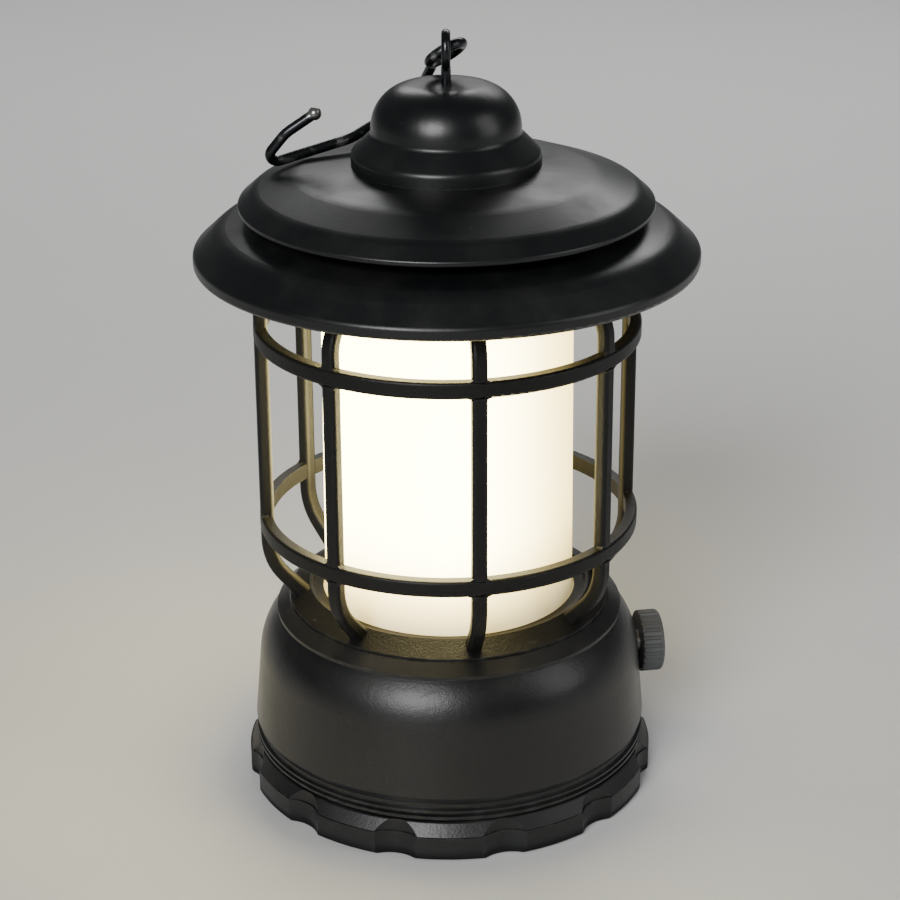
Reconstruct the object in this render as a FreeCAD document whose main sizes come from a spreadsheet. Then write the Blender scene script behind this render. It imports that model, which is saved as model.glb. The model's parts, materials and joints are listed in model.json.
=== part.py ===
"""Camping lantern: round battery base, frosted diffuser in an eight-bar cage, two-tier roof and hook.

The origin is the centre of the foot on the ground and +Z is up.  The dimmer knob points along +X
and the front of the lantern is -Y.  Lengths are millimetres and angles are degrees.
"""
import FreeCAD, Part
import math
import os
import Sketcher

# Driving dimensions.  Every entry becomes one aliased cell of the spreadsheet.
SIZES = {
    # battery cover, the scalloped ring that the lantern stands on
    "foot_lap": 0.5,
    "foot_bevel": 2.5,
    "foot_underside": 0.4,
    "foot_ledge_height": 6.9,
    "foot_ledge_step": 0.35,
    "foot_top_height": 10.4,
    "cover_wall": 2.2,
    "cover_floor": 2.0,
    "cover_neck_height": 5.2,
    "scallop_radius": 9.2,
    "scallop_depth": 2.3,
    "pad_radius": 5.0,
    "pad_ring_radius": 44.0,
    "pad_thickness": 1.4,
    "seal_wire_radius": 0.6,
    # base housing
    "housing_foot_step": 0.9,
    "bead_height": 1.3,
    "bead_stand": 0.8,
    "hem_flare": 2.3,
    "hem_height": 17.4,
    "housing_lap": 4.4,
    "housing_top_height": 48.2,
    "housing_shoulder": 19.0,
    "housing_shoulder_drop": 5.6,
    "housing_rim_inset": 0.5,
    "housing_wall": 2.4,
    "boss_radius": 3.4,
    # lamp base, the bevelled disc on top of the housing
    "lamp_base_slope": 3.3,
    "lamp_base_lap": 0.3,
    "lamp_base_edge": 0.9,
    "lamp_base_height": 3.6,
    "wire_hole_radius": 8.0,
    # cage, with heights above the lamp base or below the crown ring
    "cage_height": 98.8,
    "cage_radius": 50.4,
    "bar_depth": 3.6,
    "bar_width": 3.9,
    "bar_edge": 1.1,
    "bar_foot_inset": 1.4,
    "bar_low_corner": 12.1,
    "bar_low_bend": 18.0,
    "bar_high_corner": 13.3,
    "bar_high_bend": 12.0,
    "bar_crown_radius": 42.6,
    "hoop_depth": 3.0,
    "hoop_height": 4.3,
    "hoop_edge": 0.7,
    "hoop_low_lift": 21.6,
    "hoop_high_drop": 24.3,
    "collar_clear": 4.4,
    "collar_width": 5.2,
    "collar_height": 3.9,
    "collar_outer_height": 0.7,
    "collar_lip": 1.1,
    "crown_inner": 36.0,
    "crown_outer": 44.0,
    "crown_height": 3.6,
    # diffuser and light source
    "diffuser_radius": 33.4,
    "diffuser_draft": 0.8,
    "diffuser_wall": 1.8,
    "diffuser_gap": 1.2,
    "diffuser_flange": 3.2,
    "diffuser_flange_height": 1.6,
    "diffuser_crown": 5.0,
    "post_half": 9.0,
    "post_bore": 6.0,
    "post_gap": 7.4,
    "post_flange_radius": 18.0,
    "post_flange_height": 2.4,
    "strip_width": 10.0,
    "strip_thickness": 1.0,
    "strip_inset": 6.0,
    "chip_size": 2.8,
    "chip_thickness": 0.8,
    "chip_pitch": 10.5,
    "link_board_thickness": 1.2,
    # roof, each height above the piece below it
    "crown_plate_thickness": 2.0,
    "brim_radius": 65.0,
    "brim_drop": 4.3,
    "brim_lip": 3.1,
    "brim_fall": 2.4,
    "brim_rise_radius": 58.4,
    "brim_neck": 50.0,
    "brim_wall": 1.7,
    "spacer_radius": 36.0,
    "spacer_wall": 3.2,
    "roof_gap": 2.7,
    "disc_radius": 53.1,
    "disc_edge": 1.3,
    "disc_shoulder_radius": 49.0,
    "disc_shoulder_rise": 4.9,
    "disc_mid_radius": 38.0,
    "disc_mid_rise": 8.7,
    "disc_rise": 10.4,
    "disc_wall": 2.0,
    "cap_radius": 24.2,
    "cap_collar": 3.4,
    "cap_step_rise": 8.4,
    "dome_radius": 19.1,
    "dome_shoulder": 11.0,
    "dome_rise": 20.5,
    "dome_camber": 0.3,
    "cap_wall": 1.8,
    "cap_boss_depth": 6.0,
    # hanging gear
    "eye_rise": 8.3,
    "eye_radius": 4.1,
    "eye_wire": 1.15,
    "tie_radius": 1.25,
    "tie_drop": 3.9,
    "eye_nut_across": 5.0,
    "eye_nut_height": 1.9,
    "tie_nut_across": 5.5,
    "tie_nut_height": 2.2,
    "tie_washer_radius": 6.5,
    "tie_washer_thickness": 0.8,
    "hook_wire": 1.35,
    "hook_ring": 4.7,
    "hook_tip": 1.75,
    "hook_reach": 49.0,
    # dimmer
    "dimmer_drop": 16.8,
    "knob_radius": 8.5,
    "knob_length": 5.9,
    "knob_inset": 0.1,
    "knob_face": 1.6,
    "knob_rib_depth": 0.5,
    "knob_edge": 0.9,
    "dimmer_shaft_radius": 3.0,
    "dimmer_can_radius": 8.0,
    "dimmer_can_depth": 8.0,
    "dimmer_shaft_depth": 5.0,
    "bracket_inset": 12.3,
    "bracket_thickness": 2.0,
    "bracket_half": 10.0,
    "bracket_tab": 9.2,
    "dimmer_bush_radius": 4.2,
    "dimmer_bush_length": 4.6,
    "dimmer_nut_across": 11.0,
    "dimmer_nut_height": 2.2,
    # batteries and electronics
    "cell_radius": 7.1,
    "cell_length": 49.2,
    "nub_radius": 2.7,
    "nub_length": 1.2,
    "cell_pitch": 15.4,
    "cell_drop": 24.6,
    "cell_gap": 0.4,
    "tray_wall": 1.6,
    "tray_skirt": 7.2,
    "ear_spread": 20.0,
    "contact_thickness": 1.0,
    "contact_width": 9.0,
    "contact_height": 13.0,
    "leaf_thickness": 0.4,
    "leaf_rise": 2.6,
    "leaf_width": 5.0,
    "board_thickness": 1.6,
    "board_length": 52.0,
    "board_width": 40.0,
    "board_drop": 8.2,
    "peg_radius": 2.2,
    "peg_tip_radius": 1.2,
    "lead_radius": 0.6,
    "lead_spread": 2.4,
    # fasteners
    "screw_radius": 1.45,
    "screw_head_radius": 2.7,
    "screw_head_height": 1.8,
    "screw_slot": 0.9,
    "deck_screw_inset": 2.4,
    "crown_screw_ring": 40.2,
    "post_screw_ring": 14.0,
    # clearances
    "running_gap": 0.05,
    "thread_gap": 0.05,
    "loose_gap": 0.3,
}

BAR_COUNT = 8
SCALLOP_COUNT = 12
SCALLOP_TURN = 6
KNOB_RIBS = 24
PAD_COUNT = 4
SCREW_COUNT = 4
SCREW_TURN = 22.5
CELL_COUNT = 3
STRIP_COUNT = 4
CHIPS_PER_STRIP = 8
HANG_TURN = -9
CORNERS = ((1, 1), (1, -1), (-1, 1), (-1, -1))
UP = FreeCAD.Vector(0, 0, 1)
TO_X_AXIS = FreeCAD.Rotation(FreeCAD.Vector(0, 1, 0), 90)
TO_Y_AXIS = FreeCAD.Rotation(FreeCAD.Vector(1, 0, 0), -90)
TO_MINUS_Y_AXIS = FreeCAD.Rotation(FreeCAD.Vector(1, 0, 0), 90)


class Size:
    """A number that also knows the spreadsheet formula it comes from."""

    def __init__(self, value, formula):
        self.value = float(value)
        self.formula = formula

    def __add__(self, other):
        other = sized(other)
        return Size(self.value + other.value, f"({self.formula} + {other.formula})")

    def __sub__(self, other):
        other = sized(other)
        return Size(self.value - other.value, f"({self.formula} - {other.formula})")

    def __mul__(self, other):
        other = sized(other)
        return Size(self.value * other.value, f"({self.formula} * {other.formula})")

    def __truediv__(self, other):
        other = sized(other)
        return Size(self.value / other.value, f"({self.formula} / {other.formula})")

    def __neg__(self):
        return Size(-self.value, f"(0 - {self.formula})")


def sized(term):
    """Wrap a plain number, and leave a Size as it is."""
    if isinstance(term, Size):
        return term
    return Size(term, f"{float(term):.6f}")


doc = FreeCAD.newDocument("CampingLantern")
sheet = doc.addObject("Spreadsheet::Sheet", "Sizes")
for row, (alias, number) in enumerate(SIZES.items(), start=1):
    sheet.set(f"A{row}", alias)
    sheet.set(f"B{row}", str(number))
    sheet.setAlias(f"B{row}", alias)
doc.recompute()

NODES = []


def s(alias):
    """The driving dimension with this alias."""
    return Size(SIZES[alias], f"Sizes.{alias}")


def bind(item, path, size):
    """Drive one property of a document object from the spreadsheet."""
    item.setExpression(path, sized(size).formula)


def node(item, label):
    """Name a finished sub-part and list it for export."""
    item.Label = label
    NODES.append(item)
    return item


def place(item, x=0, y=0, z=0, rotation=None):
    """Put an object at bound coordinates, turned by a rotation."""
    base = FreeCAD.Vector(sized(x).value, sized(y).value, sized(z).value)
    item.Placement = FreeCAD.Placement(base, rotation or FreeCAD.Rotation())
    for axis, size in (("x", x), ("y", y), ("z", z)):
        if isinstance(size, Size):
            bind(item, f"Placement.Base.{axis}", size)


# ---------------------------------------------------------------- sketch and body helpers

def origin_item(body, role):
    """One plane or axis of a body's own origin."""
    for feature in body.Origin.OriginFeatures:
        if feature.Role == role:
            return feature
    raise ValueError(role)


def rounded_corner(before, corner, after, radius):
    """Tangent points, centre and mid-point of the arc that rounds a corner."""
    to_before = (before - corner).normalize()
    to_after = (after - corner).normalize()
    half = to_before.getAngle(to_after) / 2
    reach = radius / math.tan(half)
    bisector = (to_before + to_after).normalize()
    centre = corner + bisector * (radius / math.sin(half))
    start = corner + to_before * reach
    end = corner + to_after * reach
    return start, centre - bisector * radius, end


def pin_point(sketch, geometry, which, x, y):
    """Fix one sketch point at bound coordinates, or on an axis where one is zero."""
    for kind, size, axis in (("DistanceX", x, -2), ("DistanceY", y, -1)):
        size = sized(size)
        if abs(size.value) < 1e-9:
            sketch.addConstraint(Sketcher.Constraint("PointOnObject", geometry, which, axis))
            continue
        constraint = Sketcher.Constraint(kind, -1, 1, geometry, which, size.value)
        index = sketch.addConstraint(constraint)
        bind(sketch, f"Constraints[{index}]", size)


def outline(body, name, role, corners):
    """A closed, fully constrained sketch through corners (x, y) or (x, y, rounding radius)."""
    sketch = body.newObject("Sketcher::SketchObject", name)
    sketch.AttachmentSupport = [(origin_item(body, role), "")]
    sketch.MapMode = "FlatFace"
    points = [FreeCAD.Vector(sized(c[0]).value, sized(c[1]).value, 0) for c in corners]
    count = len(corners)
    starts, ends, arcs = list(points), list(points), {}
    for i, corner in enumerate(corners):
        if len(corner) == 3:
            before, after = points[i - 1], points[(i + 1) % count]
            first, middle, last = rounded_corner(before, points[i], after, sized(corner[2]).value)
            arcs[i] = (first, middle, last)
            ends[i] = first
            starts[i] = last
    lines = []
    for i in range(count):
        segment = Part.LineSegment(starts[i], ends[(i + 1) % count])
        lines.append(sketch.addGeometry(segment))
    for i, corner in enumerate(corners):
        before_line, after_line = lines[i - 1], lines[i]
        if i not in arcs:
            sketch.addConstraint(Sketcher.Constraint("Coincident", before_line, 2, after_line, 1))
            pin_point(sketch, after_line, 1, corner[0], corner[1])
            continue
        round_over(sketch, arcs[i], points[i], corner, before_line, after_line)
    return sketch


def round_over(sketch, arc_points, point, corner, before_line, after_line):
    """Join two sketch lines with a tangent arc whose corner stays bound to the sheet."""
    arc = sketch.addGeometry(Part.Arc(*arc_points))
    ghost = sketch.addGeometry(Part.Point(point), True)
    pin_point(sketch, ghost, 1, corner[0], corner[1])
    sketch.addConstraint(Sketcher.Constraint("PointOnObject", ghost, 1, before_line))
    sketch.addConstraint(Sketcher.Constraint("PointOnObject", ghost, 1, after_line))
    near, far = (1, 2) if turns_left(*arc_points) else (2, 1)
    sketch.addConstraint(Sketcher.Constraint("Tangent", before_line, 2, arc, near))
    sketch.addConstraint(Sketcher.Constraint("Tangent", arc, far, after_line, 1))
    index = sketch.addConstraint(Sketcher.Constraint("Radius", arc, sized(corner[2]).value))
    bind(sketch, f"Constraints[{index}]", corner[2])


def turns_left(start, middle, end):
    """Whether an arc runs anticlockwise, which is how a sketch numbers an arc's ends."""
    return (middle - start).cross(end - middle).z > 0


def turned(label, corners, role="XZ_Plane"):
    """A body turned about its own Z axis from a half section (radius, height)."""
    body = doc.addObject("PartDesign::Body", label)
    sketch = outline(body, f"{label}_section", role, corners)
    turn = body.newObject("PartDesign::Revolution", f"{label}_turn")
    turn.Profile = sketch
    turn.ReferenceAxis = (sketch, ["V_Axis"])
    turn.Angle = 360
    body.Tip = turn
    return body


def padded_plate(label, corners, thickness, role="XZ_Plane"):
    """A body padded evenly to both sides of its sketch."""
    body = doc.addObject("PartDesign::Body", label)
    sketch = outline(body, f"{label}_outline", role, corners)
    pad = body.newObject("PartDesign::Pad", f"{label}_pad")
    pad.Profile = sketch
    pad.Midplane = True
    pad.Length = sized(thickness).value
    bind(pad, "Length", thickness)
    body.Tip = pad
    return body


def primitive(body, kind, name, sizes, x=0, y=0, z=0, rotation=None):
    """Add or cut a PartDesign primitive, such as AdditiveBox or SubtractiveCylinder."""
    item = body.newObject(f"PartDesign::{kind}", name)
    for path, size in sizes.items():
        bind(item, path, size)
    place(item, x, y, z, rotation)
    body.Tip = item
    return item


def box(body, kind, name, length, width, height, x, y, z):
    """A box given by its lowest corner."""
    return primitive(body, kind, name, {"Length": length, "Width": width, "Height": height}, x, y, z)


def rod(body, kind, name, radius, height, x=0, y=0, z=0, rotation=None):
    """A cylinder that starts at a point and runs along its own Z axis."""
    return primitive(body, kind, name, {"Radius": radius, "Height": height}, x, y, z, rotation)


def round_about(body, name, features, count, angle=360):
    """Repeat features of a body about its Z axis."""
    pattern = body.newObject("PartDesign::PolarPattern", name)
    pattern.Originals = features
    pattern.Axis = (origin_item(body, "Z_Axis"), [""])
    pattern.Angle = angle
    pattern.Occurrences = count
    body.Tip = pattern
    return pattern


def turn_body(body, degrees):
    """Turn a whole body about the lantern's axis."""
    body.Placement = FreeCAD.Placement(FreeCAD.Vector(), FreeCAD.Rotation(UP, degrees))


def hex_prism(body, kind, name, across, height, x=0, y=0, z=0, rotation=None):
    """A hexagonal prism given by its width across the flats."""
    prism = primitive(body, kind, name, {"Height": height}, x, y, z, rotation)
    prism.Polygon = 6
    bind(prism, "Circumradius", across / math.sqrt(3))
    return prism


# ---------------------------------------------------------------- heights and places that pieces share

collar_inner = s("diffuser_radius") + s("collar_clear")
collar_outer = collar_inner + s("collar_width")
bar_foot_radius = collar_outer - s("bar_foot_inset")
deck_screw_ring = collar_inner + s("deck_screw_inset")
lamp_base_crown = collar_outer + s("lamp_base_lap")
lamp_base_rim = lamp_base_crown + s("lamp_base_slope")
housing_waist = lamp_base_rim + s("housing_lap")
hem_radius = housing_waist + s("hem_flare")
housing_foot_radius = hem_radius - s("housing_foot_step")
foot_bevel_radius = housing_foot_radius + s("foot_lap")
foot_radius = foot_bevel_radius + s("foot_bevel")
bracket_place = hem_radius - s("bracket_inset")
housing_bottom = s("foot_top_height") + s("loose_gap")
housing_bore = hem_radius - s("housing_wall")
housing_inner = housing_waist - s("housing_wall")
deck_top = s("housing_top_height")
deck_bottom = deck_top - s("housing_wall")
dimmer_height = deck_top - s("dimmer_drop")
cell_height = deck_bottom - s("cell_drop")
tray_bottom = cell_height - s("tray_skirt")
cover_neck = housing_bore - s("seal_wire_radius") * 2 - s("loose_gap")
lamp_base_top = deck_top + s("lamp_base_height")
collar_slope_bottom = lamp_base_top + s("collar_outer_height")
collar_top = lamp_base_top + s("collar_height")
crown_bottom = lamp_base_top + s("cage_height")
crown_top = crown_bottom + s("crown_height")
crown_plate_top = crown_top + s("crown_plate_thickness")
diffuser_top = crown_bottom - s("diffuser_gap")
post_top = diffuser_top - s("post_gap")
brim_top = crown_plate_top + s("brim_wall")
disc_bottom = brim_top + s("roof_gap")
disc_mid = disc_bottom + s("disc_mid_rise")
disc_under = disc_mid - s("disc_wall")
cap_foot = disc_bottom + s("disc_rise")
cap_step = cap_foot + s("cap_step_rise")
dome_crown = cap_foot + s("dome_rise")
dome_top = dome_crown + s("dome_camber")
eye_centre = dome_top + s("eye_rise")
tray_inner_half = s("cell_pitch") * (CELL_COUNT / 2) + s("cell_gap")
tray_end = (s("cell_length") + s("nub_length") + s("leaf_rise")) / 2 + s("contact_thickness")
tray_top = cell_height + s("cell_radius") + s("cell_gap") + s("tray_wall")
contact_top = cell_height + s("contact_height") / 2
ear_x = tray_inner_half + s("tray_wall") + s("boss_radius")
board_bottom = deck_bottom - s("board_drop")
board_top = board_bottom + s("board_thickness")
knob_seat = hem_radius - s("knob_inset")


def around(radius, degrees):
    """Bound x and y of a point at this radius and angle."""
    angle = math.radians(degrees)
    return radius * math.cos(angle), radius * math.sin(angle)


def drill(body, x, y, z, depth):
    """Cut one screw hole with its thread clearance."""
    return rod(body, "SubtractiveCylinder", "screw_hole", s("screw_radius") + s("thread_gap"),
               depth, x, y, z)


def drill_ring(body, ring, z, depth):
    """Cut a ring of screw holes."""
    hole = drill(body, *around(ring, SCREW_TURN), z, depth)
    round_about(body, "screw_holes", [hole], SCREW_COUNT)


def screw(body, x, y, head_bottom, length):
    """One slotted screw, head down and thread up."""
    wide = s("screw_head_radius")
    slot = s("screw_slot")
    head_top = head_bottom + s("screw_head_height")
    return [
        rod(body, "AdditiveCylinder", "screw_head", wide, s("screw_head_height"), x, y, head_bottom),
        rod(body, "AdditiveCylinder", "screw_shank", s("screw_radius"), length, x, y, head_top),
        box(body, "SubtractiveBox", "screw_slot", wide * 2, slot, slot,
            x - wide, y - slot / 2, head_bottom),
    ]


def screw_ring(label, ring, head_top, length):
    """Identical screws on a ring."""
    body = doc.addObject("PartDesign::Body", label)
    features = screw(body, *around(ring, SCREW_TURN), head_top - s("screw_head_height"), length)
    round_about(body, "screws", features, SCREW_COUNT)
    return node(body, label)


def screw_set(label, places, head_top, length):
    """Identical screws at separate places."""
    body = doc.addObject("PartDesign::Body", label)
    for x, y in places:
        screw(body, x, y, head_top - s("screw_head_height"), length)
    return node(body, label)


# ---------------------------------------------------------------- base

def battery_cover():
    """Twist-off cover: flat floor, scalloped grip ring and a neck that enters the housing."""
    rim = foot_radius
    ledge = rim - s("foot_ledge_step")
    top = s("foot_top_height")
    floor = s("foot_underside") + s("cover_floor")
    neck_top = top + s("cover_neck_height")
    body = turned("battery_cover", [
        (0, s("foot_underside")),
        (rim, s("foot_underside"), 0.8),
        (rim, s("foot_ledge_height")),
        (ledge, s("foot_ledge_height") + 0.1),
        (foot_bevel_radius, top, 0.8),
        (cover_neck, top),
        (cover_neck, neck_top),
        (cover_neck - s("cover_wall"), neck_top),
        (cover_neck - s("cover_wall"), floor),
        (0, floor),
    ])
    centre = rim + s("scallop_radius") - s("scallop_depth")
    lower = rod(body, "SubtractiveCylinder", "thumb_scallop", s("scallop_radius"),
                s("foot_ledge_height"), centre)
    upper = rod(body, "SubtractiveCylinder", "thumb_scallop_top",
                s("scallop_radius") + s("foot_ledge_step"), top, centre, 0, s("foot_ledge_height"))
    round_about(body, "scallops", [lower, upper], SCALLOP_COUNT)
    seat = rod(body, "SubtractiveCylinder", "pad_seat", s("pad_radius") + s("running_gap"),
               s("pad_thickness") - s("foot_underside"), s("pad_ring_radius"), 0, s("foot_underside"))
    round_about(body, "pad_seats", [seat], PAD_COUNT)
    turn_body(body, SCALLOP_TURN)
    return node(body, "battery_cover")


def foot_pads():
    """Four rubber pads set into the underside of the cover."""
    body = doc.addObject("PartDesign::Body", "foot_pads")
    pad = rod(body, "AdditiveCylinder", "pad", s("pad_radius"), s("pad_thickness"),
              s("pad_ring_radius"))
    round_about(body, "pads", [pad], PAD_COUNT)
    turn_body(body, SCALLOP_TURN)
    return node(body, "foot_pads")


def cover_seal():
    """Rubber ring round the neck of the battery cover."""
    wire = s("seal_wire_radius")
    ring = doc.addObject("Part::Torus", "cover_seal")
    bind(ring, "Radius1", cover_neck + wire + s("running_gap"))
    bind(ring, "Radius2", wire)
    place(ring, 0, 0, s("foot_top_height") + wire)
    return node(ring, "cover_seal")


def base_housing():
    """Round shell with a hemmed foot, two fine beads, a tapered wall and a rounded shoulder."""
    foot = housing_foot_radius
    wall = s("housing_wall")
    bead = s("bead_height")
    proud = foot + s("bead_stand")
    first = housing_bottom + 0.5
    second = first + bead + 0.4
    shoulder = deck_top - s("housing_shoulder_drop")
    rim = lamp_base_rim - s("housing_rim_inset")
    body = turned("base_housing", [
        (housing_bore, housing_bottom),
        (foot, housing_bottom),
        (foot, first),
        (proud, first + bead * 0.3),
        (proud, first + bead * 0.7),
        (foot, first + bead),
        (foot, second),
        (proud, second + bead * 0.3),
        (proud, second + bead * 0.7),
        (foot, second + bead),
        (foot, second + bead + 1.2),
        (hem_radius, s("hem_height"), 0.9),
        (housing_waist, shoulder, s("housing_shoulder")),
        (rim, deck_top),
        (s("wire_hole_radius"), deck_top),
        (s("wire_hole_radius"), deck_bottom),
        (rim - wall * 0.46, deck_bottom),
        (housing_inner, shoulder - wall * 0.375, s("housing_shoulder") - wall),
        (housing_bore, s("hem_height")),
    ])
    boss_height = deck_bottom - tray_top
    for side_x, side_y in CORNERS:
        rod(body, "AdditiveCylinder", "tray_boss", s("boss_radius"), boss_height + wall / 2,
            ear_x * side_x, s("ear_spread") * side_y, tray_top)
    for side_x, side_y in CORNERS:
        drill(body, ear_x * side_x, s("ear_spread") * side_y, tray_top - wall, boss_height)
    rod(body, "SubtractiveCylinder", "shaft_hole", s("dimmer_shaft_radius") + s("loose_gap"),
        wall * 4, housing_inner - wall, 0, dimmer_height, TO_X_AXIS)
    for side in (1, -1):
        drill(body, bracket_screw_x(), bracket_screw_y() * side, deck_bottom - wall, wall * 2 - 0.4)
    drill_ring(body, deck_screw_ring, deck_bottom - wall, wall * 3)
    drill_ring(body, s("post_screw_ring"), deck_bottom - wall, wall * 3)
    return node(body, "base_housing")


def lamp_base():
    """Bevelled disc on top of the housing that carries the cage, the diffuser and the light."""
    body = turned("lamp_base", [
        (s("wire_hole_radius"), deck_top),
        (lamp_base_rim, deck_top),
        (lamp_base_rim, deck_top + s("lamp_base_edge")),
        (lamp_base_crown, lamp_base_top),
        (s("wire_hole_radius"), lamp_base_top),
    ])
    drill_ring(body, deck_screw_ring, deck_top - 1, s("lamp_base_height") + 2)
    drill_ring(body, s("post_screw_ring"), deck_top - 1, s("lamp_base_height") + 2)
    return node(body, "lamp_base")


# ---------------------------------------------------------------- cage

def cage_collar():
    """Sloping ring at the foot of the cage, with a lip that holds the diffuser's flange down."""
    flange_top = lamp_base_top + s("diffuser_flange_height") + s("running_gap")
    lip_top = flange_top + s("collar_lip")
    bore = s("diffuser_radius") + s("diffuser_flange") + s("loose_gap")
    lip_bore = s("diffuser_radius") + s("loose_gap") * 2
    body = turned("cage_collar", [
        (bore, lamp_base_top),
        (collar_outer, lamp_base_top),
        (collar_outer, collar_slope_bottom),
        (collar_inner, collar_top),
        (bore, collar_top),
        (bore, lip_top),
        (lip_bore, lip_top),
        (lip_bore, flange_top),
        (bore, flange_top),
    ])
    drill_ring(body, deck_screw_ring, lamp_base_top - 1, s("collar_lip") + 1.5)
    return node(body, "cage_collar")


def collar_line(radius):
    """Height of the collar's sloping face at a radius."""
    fall = (collar_top - collar_slope_bottom) / (collar_outer - collar_inner)
    return collar_top - (radius - collar_inner) * fall


def hoop_bottoms():
    """Undersides of the lower and the upper hoop."""
    return lamp_base_top + s("hoop_low_lift"), crown_bottom - s("hoop_high_drop")


def cage_hoop(label, bottom):
    """One of the two round bands of the cage."""
    outer = s("cage_radius")
    inner = outer - s("hoop_depth")
    top = bottom + s("hoop_height")
    body = turned(label, [
        (inner, bottom),
        (outer, bottom, s("hoop_edge")),
        (outer, top, s("hoop_edge")),
        (inner, top),
    ])
    return node(body, label)


def cage_uprights():
    """Eight bars, bent inwards to the collar and the crown ring, with both hoops let in flush."""
    depth = s("bar_depth")
    outer = s("cage_radius")
    foot = bar_foot_radius
    head = s("bar_crown_radius")
    low = lamp_base_top + s("bar_low_corner")
    high = crown_bottom - s("bar_high_corner")
    body = padded_plate("cage_uprights", [
        (foot, collar_line(foot)),
        (outer, low, s("bar_low_bend")),
        (outer, high, s("bar_high_bend")),
        (head, crown_bottom),
        (head - depth * 1.16, crown_bottom),
        (outer - depth, high - depth * 0.27, s("bar_high_bend") - depth),
        (outer - depth, low + depth * 0.33, s("bar_low_bend") - depth),
        (foot - depth, collar_line(foot - depth)),
    ], s("bar_width"))
    doc.recompute()
    bar = body.Tip
    rounding = body.newObject("PartDesign::Fillet", "bar_rounding")
    rounding.Base = (bar, upright_edges(bar.Shape))
    bind(rounding, "Radius", s("bar_edge"))
    body.Tip = rounding
    slot = s("hoop_depth") + s("running_gap") * 2
    across = s("bar_width") * 2
    for bottom in hoop_bottoms():
        box(body, "SubtractiveBox", "hoop_slot", slot * 2, across, s("hoop_height"),
            outer - slot, -across / 2, bottom)
    doc.recompute()
    bars = round_about(body, "bars", [], BAR_COUNT)
    bars.TransformMode = "Whole shape"
    bars.Refine = False
    return node(body, "cage_uprights")


def upright_edges(shape):
    """Names of the four vertical edges of a bar, which the rounding follows round its bends."""
    names = []
    for index, edge in enumerate(shape.Edges, start=1):
        first, last = edge.Vertexes[0].Point, edge.Vertexes[-1].Point
        if abs(first.x - last.x) < SIZES["running_gap"] and abs(first.y - last.y) < SIZES["running_gap"]:
            names.append(f"Edge{index}")
    return names


def cage_crown_ring():
    """Flat ring under the roof that ties the tops of the bars together."""
    body = turned("cage_crown_ring", [
        (s("crown_inner"), crown_bottom),
        (s("crown_outer"), crown_bottom),
        (s("crown_outer"), crown_top),
        (s("crown_inner"), crown_top),
    ])
    drill_ring(body, s("crown_screw_ring"), crown_bottom - 1, s("crown_height") + 2)
    return node(body, "cage_crown_ring")


# ---------------------------------------------------------------- diffuser and light source

def diffuser():
    """Frosted tube with a closed, rounded top and a flange at its foot."""
    low = s("diffuser_radius")
    high = low - s("diffuser_draft")
    wall = s("diffuser_wall")
    flange = low + s("diffuser_flange")
    flange_top = lamp_base_top + s("diffuser_flange_height")
    body = turned("diffuser", [
        (low - wall, lamp_base_top),
        (flange, lamp_base_top),
        (flange, flange_top),
        (low, flange_top),
        (high, diffuser_top, s("diffuser_crown")),
        (0, diffuser_top),
        (0, diffuser_top - wall),
        (high - wall, diffuser_top - wall, s("diffuser_crown") - wall),
    ])
    return node(body, "diffuser")


def light_post():
    """Square aluminium post on a round foot, bored through for the leads."""
    half = s("post_half")
    height = post_top - lamp_base_top
    body = doc.addObject("PartDesign::Body", "light_post")
    rod(body, "AdditiveCylinder", "post_foot", s("post_flange_radius"), s("post_flange_height"),
        0, 0, lamp_base_top)
    box(body, "AdditiveBox", "post_shaft", half * 2, half * 2, height, -half, -half, lamp_base_top)
    rod(body, "SubtractiveCylinder", "post_bore", s("post_bore"), height + 2, 0, 0,
        lamp_base_top - 1)
    drill_ring(body, s("post_screw_ring"), lamp_base_top - 1, s("post_flange_height") + 0.5)
    return node(body, "light_post")


def light_strips():
    """Four circuit strips, one on each side of the post."""
    foot = lamp_base_top + s("strip_inset")
    body = doc.addObject("PartDesign::Body", "light_strips")
    strip = box(body, "AdditiveBox", "strip", s("strip_thickness"), s("strip_width"),
                post_top - foot, s("post_half"), -s("strip_width") / 2, foot)
    round_about(body, "strips", [strip], STRIP_COUNT)
    return node(body, "light_strips")


def light_chips():
    """Rows of square light-emitting chips on the strips."""
    face = s("post_half") + s("strip_thickness")
    side = s("chip_size")
    foot = lamp_base_top + s("strip_inset") + side
    body = doc.addObject("PartDesign::Body", "light_chips")
    chips = [box(body, "AdditiveBox", "chip", s("chip_thickness"), side, side,
                 face, -side / 2, foot + s("chip_pitch") * step) for step in range(CHIPS_PER_STRIP)]
    round_about(body, "chips", chips, STRIP_COUNT)
    return node(body, "light_chips")


def light_link_board():
    """Square ring board on top of the post that joins the four strips."""
    half = s("post_half") + s("strip_thickness")
    body = doc.addObject("PartDesign::Body", "light_link_board")
    box(body, "AdditiveBox", "board", half * 2, half * 2, s("link_board_thickness"),
        -half, -half, post_top)
    rod(body, "SubtractiveCylinder", "board_bore", s("post_bore"), s("link_board_thickness") + 2,
        0, 0, post_top - 1)
    return node(body, "light_link_board")


# ---------------------------------------------------------------- roof

def tie_hole(body, bottom, depth):
    """Hole on the axis for the threaded shank of the screw eye."""
    rod(body, "SubtractiveCylinder", "tie_hole", s("tie_radius") + s("thread_gap"), depth,
        0, 0, bottom)


def crown_plate():
    """Disc between the cage and the brim."""
    thickness = s("crown_plate_thickness")
    body = doc.addObject("PartDesign::Body", "crown_plate")
    rod(body, "AdditiveCylinder", "plate", s("crown_outer"), thickness, 0, 0, crown_top)
    tie_hole(body, crown_top - 1, thickness + 2)
    drill_ring(body, s("crown_screw_ring"), crown_top - 1, thickness + 2)
    return node(body, "crown_plate")


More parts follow.
